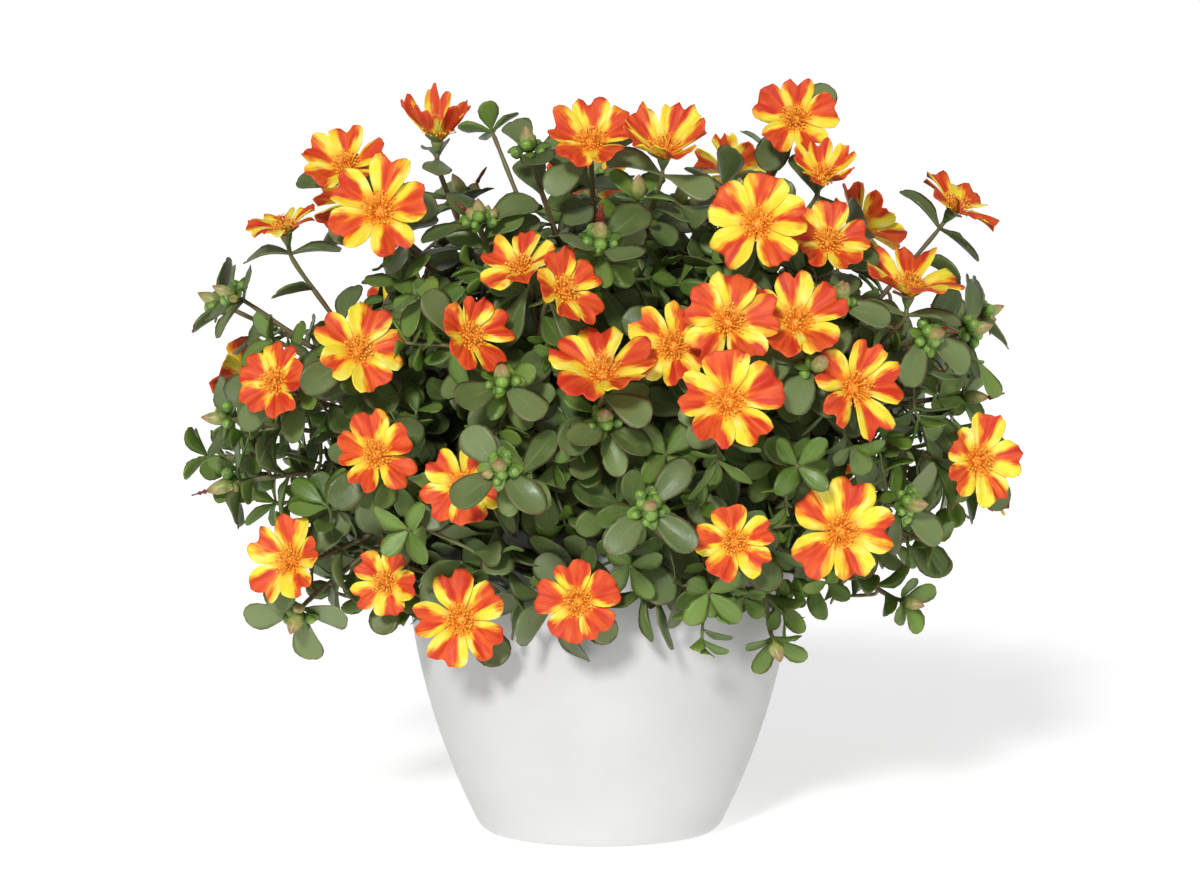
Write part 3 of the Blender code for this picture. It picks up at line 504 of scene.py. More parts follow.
def bloom_cage(centre, axes, radius, spin, tip_lift, rng, grow=0.0):
    """A bloom's simple solid, as in the CAD part, to try its clearance."""
    right, up, out = axes
    lift_at_tip = math.radians(tip_lift)
    half = 0.5 * PETAL_THICKNESS + grow
    length = radius / math.cos(0.5 * (PETAL_BASE_LIFT + lift_at_tip))

    def place(share, angle, rise=0.0):
        lift = PETAL_BASE_LIFT + (lift_at_tip - PETAL_BASE_LIFT) * share * 0.5
        flat = length * share * math.cos(lift)
        height = length * share * math.sin(lift) + rise - BLOOM_SEAT
        way = right * math.sin(angle) + up * math.cos(angle)
        return centre + way * flat + out * height

    points = []
    faces = []
    inner_top = []
    inner_bottom = []
    seam = []
    foot = []
    turn = math.radians(spin)
    for k in range(PETALS):
        angle = turn + TURN * (k + 0.5) / PETALS
        way = right * math.sin(angle) + up * math.cos(angle)
        for step, ring in enumerate((inner_top, inner_bottom, seam, foot)):
            ring.append(len(points) + step)
        points.append(place(0.24, angle, half))
        points.append(place(0.24, angle, -half))
        points.append(place(0.60 + grow / length, angle))
        points.append(centre + way * (CALYX_RADIUS + grow)
                      - out * (BLOOM_SEAT + CALYX_DEPTH + 0.5 * grow))
    boss = len(points)
    points.append(place(0.0, 0.0, 0.30 * length))
    for k in range(PETALS):
        middle = turn + TURN * k / PETALS
        wave = [rng.uniform(-0.05, 0.05) * length for _ in range(4)]
        core = len(points)
        points.append(place(0.62, middle, half))
        points.append(place(0.62, middle, -half))
        outline = ((0.86, -31, wave[0]), (1.0, -16, wave[1]), (0.89, 0, 0.0),
                   (1.0, 16, wave[2]), (0.86, 31, wave[3]))
        for share, degrees, rise in outline:
            points.append(place(share + grow / length, middle + math.radians(degrees), rise))
        rim = [seam[k - 1]] + list(range(core + 2, core + 7)) + [seam[k]]
        top_loop = [inner_top[k - 1]] + rim + [inner_top[k], inner_top[k - 1]]
        bottom_loop = [inner_bottom[k - 1]] + rim + [inner_bottom[k], inner_bottom[k - 1]]
        faces += [(core, b, a) for a, b in zip(top_loop, top_loop[1:])]
        faces += [(core + 1, a, b) for a, b in zip(bottom_loop, bottom_loop[1:])]
        faces.append((inner_top[k - 1], boss, inner_top[k]))
        faces.append((inner_bottom[k - 1], inner_bottom[k], foot[k]))
        faces.append((inner_bottom[k - 1], foot[k], foot[k - 1]))
    faces.append(tuple(foot))
    return points, faces


def bud_cage(centre, along, radius, length, grow=0.0):
    """A bud's simple solid, as in the CAD part, to try its clearance."""
    turned = along.to_track_quat("Z", "Y")
    radius += 1.5 * grow
    length += 4.0 * grow
    points = [centre - along * (0.45 * length), centre + along * (0.55 * length)]
    for side in range(BUD_SIDES):
        angle = TURN * side / BUD_SIDES
        points.append(centre + turned @ Vector((radius * math.cos(angle), radius * math.sin(angle), 0)))
    faces = []
    for side in range(BUD_SIDES):
        a = 2 + side
        b = 2 + (side + 1) % BUD_SIDES
        faces.append((0, b, a))
        faces.append((1, a, b))
    return points, faces


def trunk_path(root, fork):
    """Straight up through the soil, then over to the fork."""
    base = Vector((root.x, root.y, HOLE_BOTTOM + SEAT_GAP))
    rise = Vector((root.x, root.y, TRUNK_STRAIGHT_TO))
    span = (fork - rise).length
    outward = Vector((fork.x, fork.y, 0.0)).normalized()
    first = rise + Vector((0.0, 0.0, 0.45 * span))
    last = fork - (outward + Vector((0.0, 0.0, 0.8))).normalized() * (0.35 * span)
    return [base] + interpolate_bezier(rise, first, last, fork, TRUNK_POINTS)


def along_path(path, distance_from_end):
    """A point and direction at a distance back from the path's end, or None."""
    left = distance_from_end
    for ahead, here in zip(reversed(path), list(reversed(path))[1:]):
        step = (ahead - here).length
        if left <= step:
            return ahead + (here - ahead) * (left / step), (ahead - here).normalized()
        left -= step
    return None


def branch_path(start, start_way, tip, tip_way, bow, lead):
    """A curve from a fork to a tip, which it meets along the tip's own axis."""
    span = (tip - start).length
    first = start + start_way * (0.30 * span) + bow
    last = tip - tip_way * min(lead, 0.35 * span) + bow * 0.6
    inner = tip - tip_way * TIP_STUB
    return interpolate_bezier(start, first, last, inner, BRANCH_POINTS) + [tip]


def bows(start, tip):
    """Sideways bends to try for a branch, the gentlest first."""
    way = (tip - start).normalized()
    over = (Vector((0.0, 0.0, 1.0)) - way * way.z).normalized()
    aside = way.cross(over)
    for size in BOWS:
        for turn in range(8 if size else 1):
            angle = TURN * turn / 8.0
            yield (over * math.cos(angle) + aside * math.sin(angle)) * size


def node_cage(name):
    """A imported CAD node's points and faces."""
    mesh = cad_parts[name].data
    return [v.co.copy() for v in mesh.vertices], [tuple(p.vertices) for p in mesh.polygons]


def bloom_tip(centre, axes, radius, spin, lift, retreat):
    """The end of a branch with a bloom, and the way the bloom steps back from others."""
    return {"kind": "bloom", "centre": centre, "axes": axes, "radius": radius, "spin": spin,
            "lift": lift, "retreat": retreat}


def shoot_tip(centre, axes, buds):
    """The end of a shoot with a number of buds."""
    return {"kind": "shoot", "centre": centre, "axes": axes, "buds": buds}


def front_tips(blooms, shoots):
    """The tips of a front stem, where its table's rows put them in the front view."""
    for across, up, shift, radius, yaw, pitch, spin, lift in blooms:
        centre, shrink = seen_place(across, up, shift)
        retreat = (centre - EYE).normalized()
        yield bloom_tip(centre, face_axes(yaw, pitch), radius * shrink, spin, lift, retreat)
    for across, up, shift, yaw, pitch, buds in shoots:
        centre, _ = seen_place(across, up, shift)
        yield shoot_tip(centre, face_axes(yaw, pitch), buds)


def back_tips(blooms, shoots):
    """The tips of a back stem, spread over the dome by angle."""
    for azimuth, height_angle, radius, spin in blooms:
        axes = face_axes(azimuth, 0.6 * height_angle + BACK_PITCH)
        centre = dome_place(azimuth, height_angle)
        yield bloom_tip(centre, axes, radius, spin, BACK_LIFT, -axes[2])
    for azimuth, height_angle, buds in shoots:
        axes = face_axes(azimuth, 0.6 * height_angle + BACK_PITCH)
        yield shoot_tip(dome_place(azimuth, height_angle), axes, buds)


def plan_tips():
    """Every stem with its blooms and shoots, each placed and faced."""
    stems = []
    for table, tips_of in ((FRONT_STEMS, front_tips), (BACK_STEMS, back_tips)):
        for name, root, fork, blooms, shoots in table:
            stems.append({"name": name, "root": polar(*root, 0.0), "fork": polar(*fork),
                          "tips": list(tips_of(blooms, shoots))})
    return stems


def tip_cage(tip, centre, grow):
    """The simple solid of a tip's bloom, with its centre at a place."""
    return bloom_cage(centre, tip["axes"], tip["radius"], tip["spin"], tip["lift"],
                      random.Random(tip["seed"]), grow)


def place_blooms(stems, placed):
    """Settle each bloom, stepping it back or forth until it clears the others."""
    number = 0
    for stem in stems:
        for tip in stem["tips"]:
            if tip["kind"] != "bloom":
                continue
            number += 1
            tip["number"] = number
            tip["name"] = f"bloom_{number:02d}"
            tip["seed"] = SEED + number
            for shift in BLOOM_SHIFTS:
                centre = tip["centre"] + tip["retreat"] * shift
                if not placed.crossed(tip_cage(tip, centre, CLEARANCE)):
                    tip["centre"] = centre
                    break
            placed.add(tip["name"], tip["name"], tip_cage(tip, tip["centre"], 0.0))


def tip_end(tip):
    """Where a tip's branch ends, and the direction it arrives in."""
    out = tip["axes"][2]
    if tip["kind"] == "bloom":
        return tip["centre"] - out * (BLOOM_SEAT + CALYX_DEPTH + SEAT_GAP), out
    return tip["centre"] - out * (0.6 * BUD_RADIUS), out


def grow_trunks(stems, placed):
    """Each stem's trunk, from the soil to its fork."""
    for stem in stems:
        stem["trunk"] = trunk_path(stem["root"], stem["fork"])
        placed.add(stem["name"], stem["name"] + " trunk",
                   tube_cage(stem["trunk"], TRUNK_RADIUS, TRUNK_TOP_RADIUS))


def grow_branches(stems, placed):
    """A branch from each trunk to each of its tips, no two from one place where that can be."""
    for stem in stems:
        starts = []
        upper = stem["trunk"][-3:]
        for here, ahead in zip(upper, upper[1:]):
            for share in FORK_SHARES:
                starts.append((here.lerp(ahead, share), (ahead - here).normalized()))
        starts.append((stem["fork"], (upper[-1] - upper[-2]).normalized()))
        for index, tip in enumerate(stem["tips"]):
            end, way = tip_end(tip)
            tip["key"] = f"{stem['name']} {index}"
            starts.sort(key=lambda spot: (spot[0] - end).length)
            path = clear_branch(stem, tip, starts, end, way, placed)
            tip["path"] = path
            kept = [spot for spot in starts if (spot[0] - path[0]).length > FORK_SPACING]
            starts = kept or starts
            tip["skin"] = tube_skin(path, BRANCH_RADIUS, TIP_RADIUS)
            placed.add(stem["name"], tip["key"], tube_cage(path, BRANCH_RADIUS, TIP_RADIUS))


def clear_branch(stem, tip, starts, end, way, placed):
    """The gentlest branch from the trunk to a tip that crosses no other node."""
    own = (tip.get("name"),)
    tries = [(bow, lead, spot) for bow in bows(starts[0][0], end) for spot in starts[:6]
             for lead in BRANCH_LEADS]
    tries.sort(key=lambda choice: choice[0].length)
    for bow, lead, (start, trunk_way) in tries:
        start_way = (trunk_way * BRANCH_START_TURN + (end - start).normalized()).normalized()
        path = branch_path(start, start_way, end, way, bow, lead)
        fat = tube_cage(path, BRANCH_RADIUS + CLEARANCE, TIP_RADIUS + CLEARANCE)
        thin = tube_cage(path[:-1], BRANCH_RADIUS, TIP_RADIUS)
        if placed.crossed(fat, family=stem["name"], keys=own):
            continue
        if not placed.crossed(thin, family=stem["name"]):
            return path
    raise RuntimeError(f"a tip of {stem['name']} can't be reached: {tip['centre']}")


def leaf_plan(tip):
    """Whorls of a tip: distance from its end, leaves, size, angle from the stem."""
    if tip["kind"] == "bloom":
        return BLOOM_WHORLS[: 3 - tip["seed"] % 2]
    return HEAD_WHORLS if tip["buds"] > 1 else ROSETTE_WHORLS


def flat_sides(skin, spot, first):
    """The directions square to a branch's flat sides at a spot on its axis."""
    root, way = spot
    turned = way.to_track_quat("Z", "Y")
    sides = []
    for step in range(4 * BRANCH_CORNERS):
        angle = TURN * step / (4 * BRANCH_CORNERS) + 0.1
        ray = turned @ Vector((math.cos(angle), math.sin(angle), 0.0))
        _, normal, _, _ = skin.ray_cast(root, ray)
        flat = (normal - way * normal.dot(way)).normalized()
        if all(flat.dot(other) < 0.7 for other in sides):
            sides.append(flat)
    half = len(sides) // 2
    order = [0, half, 1, half + 1] if half == 2 else range(len(sides))
    return [sides[(first + index) % len(sides)] for index in order]


def clear_leaf(key, family, spot, flat, size, spread, rng, placed):
    """A leaf at a spot that crosses nothing, or None if none of the tries is clear."""
    root, way = spot
    length = LEAF_LENGTH * size * rng.uniform(0.88, 1.08)
    width = LEAF_WIDTH * size * rng.uniform(0.9, 1.1)
    droop = rng.uniform(0.05, 0.22)
    for step in LEAF_TRIES:
        open_angle = math.radians(spread + step)
        along = way * math.cos(open_angle) + flat * math.sin(open_angle)
        upward = way * math.sin(open_angle) - flat * math.cos(open_angle)
        shape = (root, along, upward, length, width, droop)
        points, faces = leaf_cage(*shape, CLEARANCE)
        if placed.crossed((points, faces), family=family):
            continue
        points[0] = points[0].lerp(points[3], 0.6)
        if placed.crossed((points, faces), keys=(key,)):
            continue
        placed.add(family, key + " leaf", leaf_cage(*shape))
        return shape
    return None


def grow_leaves(stems, placed):
    """Whorl by whorl, each leaf on a flat side of its branch and clear of the rest."""
    for number, stem in enumerate(stems):
        rng = random.Random(SEED + 100 + number)
        stem["leaves"] = []
        for tip in stem["tips"]:
            for distance, count, size, spread in leaf_plan(tip):
                spot = along_path(tip["path"], distance)
                if spot is None:
                    break
                grown = 0
                for flat in flat_sides(tip["skin"], spot, rng.randrange(BRANCH_CORNERS)):
                    if grown == count:
                        break
                    shape = clear_leaf(tip["key"], stem["name"], spot, flat, size, spread, rng, placed)
                    if shape is not None:
                        stem["leaves"].append((shape, size, tip["key"]))
                        grown += 1


def bud_shape(tip, k, rng):
    """Centre, axis, radius and length of one bud: the first at the tip, others round it."""
    right, up, out = tip["axes"]
    size = BUD_RADIUS * rng.uniform(0.8, 1.0)
    if k == 0:
        return tip["centre"] + out * BUD_RISE, out, size, 4.2 * size
    angle = GOLDEN_ANGLE * k + rng.uniform(-0.2, 0.2)
    way = round_face(right, up, angle)
    centre = tip["centre"] + way * (0.95 * size) + out * rng.uniform(-BUD_STAGGER, BUD_STAGGER)
    return centre, (way + out * 0.8).normalized(), size, 2.4 * size


def grow_buds(stems, placed):
    """The buds and seed cups that crowd the tips of the shoots."""
    for number, stem in enumerate(stems):
        rng = random.Random(SEED + 200 + number)
        stem["buds"] = []
        for tip in stem["tips"]:
            for k in range(tip.get("buds", 0)):
                shape = bud_shape(tip, k, rng)
                if placed.crossed(bud_cage(*shape, CLEARANCE), family=stem["name"]):
                    continue
                stem["buds"].append((shape, k))
                placed.add(stem["name"], tip["key"] + " bud", bud_cage(*shape))


# Leaves and side shoots that are seen but aren't in the CAD part
SHOOT_TRIES = 400
SKIRT_AZIMUTHS = range(0, 360, 9)
FRINGE_AZIMUTHS = range(-40, 62, 5)
BOX_INSET = 0.0006
# The share of leaves kept at the outline, and the depth inside it over which that rises by one
EDGE_SHARE = 0.27
EDGE_FADE = 0.040
RIM_GUARD = 0.0022
FACE_GUARD = 0.85
LEAF_GUARD = 0.001
NODE_SPACING = (0.0065, 0.0110)
BARE_FOOT = 0.004
FIRST_ON_BRANCH = 0.010
FIRST_ON_SHOOT = 0.008
SHOOT_TIP_LEAVES = 4
SHOOT_TIP_DISTANCE = 0.001
SHOOT_TIP_SPACING = 0.0012
SHOOT_REACH = (0.016, 0.075)
FRINGE_RADII = (0.096, 0.108)
FRINGE_BANDS = ((0.124, 0.146), (0.098, 0.122))
SKIRT_RADII = (0.097, 0.120)
SKIRT_BANDS = ((0.122, 0.160), (0.094, 0.124))
FRINGE_LEAF = 1.12
SMALL_FRINGE_LEAF = 0.62
SMALL_FRINGE_FROM = 22

# The outline of the foliage from the front, at the pot's axis: across, highest, lowest
OUTLINE = np.array((
    (-0.189, 0.206, 0.168), (-0.180, 0.213, 0.150), (-0.160, 0.220, 0.124), (-0.140, 0.230, 0.100),
    (-0.121, 0.246, 0.096), (-0.105, 0.258, 0.094), (-0.085, 0.268, 0.084), (-0.055, 0.286, 0.080),
    (-0.030, 0.292, 0.068), (0.000, 0.290, 0.070), (0.035, 0.290, 0.072), (0.070, 0.292, 0.062),
    (0.090, 0.280, 0.082), (0.105, 0.266, 0.088), (0.120, 0.254, 0.090), (0.135, 0.240, 0.092),
    (0.152, 0.226, 0.098), (0.175, 0.214, 0.140), (0.190, 0.204, 0.176),
))


def front_view(spots):
    """Where points show in the front view: across and up, at the pot's axis."""
    shrink = 1.0 + spots[:, 1] / -EYE.y
    return spots[:, 0] / shrink, EYE.z + (spots[:, 2] - EYE.z) / shrink


def guard_blooms(stems, placed):
    """Keep later growth off the blooms' rims and out of sight in front of their faces."""
    for stem in stems:
        for tip in stem["tips"]:
            if tip["kind"] != "bloom":
                continue
            centre = tip["centre"]
            placed.add(tip["name"], tip["name"] + " rim", tip_cage(tip, centre, RIM_GUARD))
            if tip["axes"][2].y < -0.3:
                across, up = front_view(np.array([tuple(centre)]))
                placed.faces.append((across[0], up[0], centre.y, FACE_GUARD * tip["radius"]))


def hides_bloom(points, faces):
    """Whether points lie in front of a bloom's face, as seen from the front."""
    spots = np.array([tuple(p) for p in points])
    faces = np.array(faces)
    across, up = front_view(spots)
    apart = np.hypot(across[:, None] - faces[:, 0], up[:, None] - faces[:, 1])
    return bool(((apart < faces[:, 3]) & (spots[:, 1, None] < faces[:, 2])).any())


def room(points):
    """How far inside the outline from the front points lie, or -1 outside the CAD box."""
    spots = np.array([tuple(p) for p in points])
    low, high = (np.array(corner) for corner in CAD_BOX)
    if (spots < low + BOX_INSET).any() or (spots > high - BOX_INSET).any():
        return -1.0
    across, up = front_view(spots)
    top = np.interp(across, OUTLINE[:, 0], OUTLINE[:, 1], 0.0, 0.0)
    foot = np.interp(across, OUTLINE[:, 0], OUTLINE[:, 2])
    return float(min((top - up).min(), (up - foot).min()))


def square_to(way, turn):
    """A direction square to a way, turned round it."""
    turned = way.to_track_quat("Z", "Y")
    return turned @ Vector((math.cos(turn), math.sin(turn), 0.0))


def try_leaf(stem, key, spot, turn, size, spread, rng, placed):
    """A leaf on any side of a stem, if it is clear and inside the outline; fewer by the edge."""
    count = len(placed.items)
    flat = square_to(spot[1], turn)
    shape = clear_leaf(key, stem["name"], spot, flat, size, spread, rng, placed)
    if shape is None:
        return
    points = leaf_cage(*shape, LEAF_GUARD)[0]
    inside = room(points)
    kept = inside > 0.0 and rng.random() < EDGE_SHARE + inside / EDGE_FADE
    if kept and not hides_bloom(points, placed.faces):
        stem["leaves"].append((shape, size, key))
    else:
        del placed.items[count:]


def line_with_leaves(stem, key, path, first, sizes, rng, placed):
    """Leaves down a stem from its tip, one or two at a node, turning as they go."""
    total = sum((b - a).length for a, b in zip(path, path[1:]))
    distance = first
    turn = rng.uniform(0.0, TURN)
    while distance < total - BARE_FOOT:
        share = distance / total
        spot = along_path(path, distance)
        for _ in range(2 if rng.random() < 0.4 else 1):
            turn += GOLDEN_ANGLE
            size = (sizes[0] + (sizes[1] - sizes[0]) * share) * rng.uniform(0.82, 1.12)
            try_leaf(stem, key, spot, turn, size, rng.uniform(52, 80), rng, placed)
        distance += rng.uniform(*NODE_SPACING) * (0.30 + 0.70 * sizes[0])


def more_leaves(stems, placed):
    """Leaves all the way down each branch, larger towards the trunk."""
    for number, stem in enumerate(stems):
        rng = random.Random(SEED + 400 + number)
        for tip in stem["tips"]:
            sizes = (0.72, 1.08) if tip["kind"] == "bloom" or tip["buds"] > 1 else (0.6, 0.95)
            line_with_leaves(stem, tip["key"], tip["path"], FIRST_ON_BRANCH, sizes, rng, placed)


def shoot_starts(stems):
    """Places on the branches and trunks that a side shoot can grow from."""
    starts = []
    for stem in stems:
        for tip in stem["tips"]:
            for here, ahead in zip(tip["path"], tip["path"][1:-1]):
                way = (ahead - here).normalized()
                for share in (0.2, 0.5, 0.8):
                    starts.append((here.lerp(ahead, share), way, stem, tip["key"]))
        for here, ahead in zip(stem["trunk"][1:], stem["trunk"][2:]):
            way = (ahead - here).normalized()
            starts.append((here.lerp(ahead, 0.5), way, stem, stem["name"] + " trunk"))
    return starts


def shoot_targets(rng):
    """Where side shoots are sent, and their leaves' size: the rim, the skirt, the whole mound."""
    for azimuth in FRINGE_AZIMUTHS:
        for band in FRINGE_BANDS:
            target = polar(azimuth + rng.uniform(-2, 2), rng.uniform(*FRINGE_RADII), rng.uniform(*band))
            yield target, FRINGE_LEAF if azimuth < SMALL_FRINGE_FROM else SMALL_FRINGE_LEAF
    for azimuth in SKIRT_AZIMUTHS:
        for band in SKIRT_BANDS:
            radius = rng.uniform(*SKIRT_RADII)
            target = polar(azimuth + rng.uniform(-4, 4), radius, rng.uniform(*band))
            yield target, 1.0 if rng.random() < 0.6 else 0.6
    for _ in range(SHOOT_TRIES):
        share = rng.uniform(0.30, 0.98) ** 0.6
        rise = math.degrees(math.asin(rng.uniform(-0.55, 0.98)))
        target = dome_place(rng.uniform(-180, 180), rise, share * 0.97)
        yield target, rng.uniform(0.44, 0.60) if rng.random() < 0.45 else 1.02 - 0.26 * share


def side_shoots(stems, placed):
    """Thin shoots from the branches into the empty parts of the mound, each with its leaves."""
    rng = random.Random(SEED + 500)
    starts = shoot_starts(stems)
    for stem in stems:
        stem["twigs"] = []
    for index, (target, size) in enumerate(list(shoot_targets(rng))):
        inward = (target - DOME_CENTRE).length
        near = [s for s in starts if SHOOT_REACH[0] < (s[0] - target).length < SHOOT_REACH[1]
                and (s[0] - DOME_CENTRE).length < inward + 0.02]
        near.sort(key=lambda s: (s[0] - target).length)
        for start, way, stem, source in near[:6]:
            key = f"{stem['name']} twig {index}"
            if grow_shoot(stem, key, source, start, way, target, size, rng, placed):
                break


def grow_shoot(stem, key, source, start, way, target, size, rng, placed):
    """One side shoot with its leaves. Returns whether there was room for it."""
    span = (target - start).length
    outward = (target - DOME_CENTRE).normalized()
    first = start + way * (0.35 * span)
    last = target - outward * (0.3 * span)
    path = interpolate_bezier(start, first, last, target, 5)
    cage = tube_cage(path, TWIG_RADIUS + CLEARANCE, TWIG_RADIUS + CLEARANCE, 4)
    if room(cage[0]) < 0.0 or hides_bloom(cage[0], placed.faces):
        return False
    if placed.crossed(cage, keys=(source, source + " leaf")):
        return False
    placed.add(stem["name"], key, tube_cage(path, TWIG_RADIUS, TWIG_RADIUS, 4))
    stem["twigs"].append(path)
    turn = rng.uniform(0.0, TURN)
    for k in range(SHOOT_TIP_LEAVES):
        spot = along_path(path, SHOOT_TIP_DISTANCE + SHOOT_TIP_SPACING * k)
        try_leaf(stem, key, spot, turn + GOLDEN_ANGLE * k, size * rng.uniform(0.72, 0.98),
                 rng.uniform(38, 70), rng, placed)
    line_with_leaves(stem, key, path, FIRST_ON_SHOOT, (size * 0.9, size * 1.15), rng, placed)
    return True


def unit(ways):
    """Ways made one long, whatever the shape of their array."""
    return ways / np.maximum(np.linalg.norm(ways, axis=-1, keepdims=True), 1e-12)


def form_of(across, along):
    """The two values of each point's form, from rows and columns of either."""
    return np.stack(np.broadcast_arrays(across, along), -1)


class Shape:
    """Points and faces gathered for one piece, with what its materials read from them.

    Form is a place across and along a leaf, petal or stem. Tint is two values that are
    the same all over one of them, such as its shade and its kind.
    """

    def __init__(self):
        self.spots = []
        self.form = []
        self.tint = []
        self.faces = []
        self.finish = []
        self.count = 0

    def grid(self, spots, form, tint, finish, around=False, flip=False):
        """Rows and columns of points joined by quads, and around joins the ends of each row."""
        rows, columns = spots.shape[:2]
        ids = self.count + np.arange(rows * columns).reshape(rows, columns)
        here, ahead = ids[:-1], ids[1:]
        if around:
            quads = np.stack([here, np.roll(here, -1, 1), np.roll(ahead, -1, 1), ahead], -1)
        else:
            quads = np.stack([here[:, :-1], here[:, 1:], ahead[:, 1:], ahead[:, :-1]], -1)
        quads = quads.reshape(-1, 4)
        self.add_faces(quads[:, ::-1] if flip else quads, finish)
        self.spots.append(spots.reshape(-1, 3))
        self.form.append(np.broadcast_to(form, (rows, columns, 2)).reshape(-1, 2))
        self.tint.append(np.tile(tint, (rows * columns, 1)))
        self.count += rows * columns
        return ids

    def solid(self, rings, form, tint, finish):
        """Rings of points as a skin that is closed at both ends."""
        ids = self.grid(rings, form, tint, finish, around=True)
        self.add_faces([ids[0][::-1], ids[-1]], finish)

    def add_faces(self, faces, finish):
        self.faces += [list(map(int, face)) for face in faces]
        self.finish += [finish] * len(faces)

    def tube(self, path, radii, sides, tint, finish, lobes=0.0):
        """A round tube along a path, closed at both ends."""
        path = np.asarray(path, float)
        angles = TURN * np.arange(sides) / sides
        swell = 1.0 + lobes * np.cos(2.0 * angles)
        ways = unit(np.gradient(path, axis=0))
        side = np.cross(ways[0], (0.0, 0.0, 1.0) if abs(ways[0][2]) < 0.9 else (1.0, 0.0, 0.0))
        rings = []
        for centre, way, radius in zip(path, ways, radii):
            side = unit(side - way * side.dot(way))
            other = np.cross(way, side)
            ring = np.cos(angles)[:, None] * side + np.sin(angles)[:, None] * other
            rings.append(centre + ring * (radius * swell)[:, None])
        across = np.abs(1.0 - 2.0 * np.arange(sides) / sides)
        along = np.linspace(0.0, 1.0, len(path))[:, None]
        self.solid(np.array(rings), form_of(across, along), tint, finish)

    def sheet(self, spots, thickness, form, tint, finish):
        """A thin sheet with both its faces and its edge."""
        normal = unit(np.cross(np.gradient(spots, axis=1), np.gradient(spots, axis=0)))
        top = self.grid(spots + normal * (0.5 * thickness), form, tint, finish)
        under = self.grid(spots - normal * (0.5 * thickness), form, tint, finish, flip=True)
        above, below = (np.concatenate([ids[0], ids[1:, -1], ids[-1, -2::-1], ids[-2:0:-1, 0]])
                        for ids in (top, under))
        self.add_faces(np.stack([above, below, np.roll(below, -1), np.roll(above, -1)], -1), finish)

    def build(self, name, materials, nodes):
        """The piece itself, in place of its CAD nodes."""
        low, high = (np.array(corner) for corner in CAD_BOX)
        mesh = bpy.data.meshes.new(name)
        mesh.from_pydata(np.clip(np.concatenate(self.spots), low, high), [], self.faces)
        mesh.polygons.foreach_set("material_index", self.finish)
        corners = np.empty(len(mesh.loops), np.int32)
        mesh.loops.foreach_get("vertex_index", corners)
        for layer, values in (("form", self.form), ("tint", self.tint)):
            flat = np.concatenate(values)[corners].astype(np.float32).ravel()
            mesh.uv_layers.new(name=layer).uv.foreach_set("vector", flat)
        for finish in materials:
            mesh.materials.append(finish)
        mesh.shade_smooth()
        piece = bpy.data.objects.new(name, mesh)
        bpy.context.scene.collection.objects.link(piece)
        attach(piece, "root")
        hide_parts(*nodes)


def rounded(path, cut=BRANCH_ROUNDING, spacing=BRANCH_SPACING):
    """A path with its corners rounded off, and points no further apart than the spacing."""
    spots = [np.array(p) for p in path]
    smooth = [spots[0]]
    for before, corner, after in zip(spots, spots[1:], spots[2:]):
        back = min(cut, 0.45 * np.linalg.norm(corner - before))
        onward = min(cut, 0.45 * np.linalg.norm(after - corner))
        first = corner + unit(before - corner) * back
        last = corner + unit(after - corner) * onward
        for share in np.linspace(0.0, 1.0, 5):
            left = 1 - share
            smooth.append(left ** 2 * first + 2 * share * left * corner + share ** 2 * last)
    smooth.append(spots[-1])
    fine = [smooth[0]]
    for here, ahead in zip(smooth, smooth[1:]):
        parts = max(1, math.ceil(np.linalg.norm(ahead - here) / spacing))
        fine += [here + (ahead - here) * k / parts for k in range(1, parts + 1)]
    return np.array(fine)


def nearest(path, spot):
    """The point of a path nearest to a spot."""
    here, step = path[:-1], np.diff(path, axis=0)
    share = ((spot - here) * step).sum(1) / np.maximum((step * step).sum(1), 1e-12)
    spots = here + step * np.clip(share, 0.0, 1.0)[:, None]
    return spots[np.argmin(((spots - spot) ** 2).sum(1))]


# Rings along a leaf, as shares of its length, and how much of its curl and twist to try
LEAF_ROWS = np.array([0.0, 0.08, 0.22, 0.38, 0.54, 0.69, 0.82, 0.92, 0.98, 1.005])
SMALL_LEAF_ROWS = np.array([0.0, 0.10, 0.30, 0.52, 0.73, 0.89, 0.975, 1.005])
CALMER = (1.0, 0.5, 0.0)


def touches(spots, blooms):
    """Whether rings of points round a leaf cross any of the blooms."""
    points = spots.reshape(-1, 3)
    low, high = points.min(0), points.max(0)
    near = [tree for least, most, tree in blooms if (low < most).all() and (high > least).all()]
    if not near:
        return False
    ids = np.arange(len(points)).reshape(spots.shape[:2])
    beside = np.roll(ids, -1, 1)
    quads = np.stack([ids[:-1], beside[:-1], beside[1:], ids[1:]], -1).reshape(-1, 4)
    body = BVHTree.FromPolygons([Vector(p) for p in points], quads.tolist())
    return any(body.overlap(tree) for tree in near)


def leaf(shape, plan, size, path, rng, blooms):
    """A fleshy spatulate leaf, kept flatter where it would cross a bloom, or else left out."""
    seed = rng.random()
    for calm in CALMER:
        spots, form, tint = leaf_form(plan, size, path, random.Random(seed), calm)
        if not touches(spots, blooms):
            shape.solid(spots, form, tint, LEAF)
            return


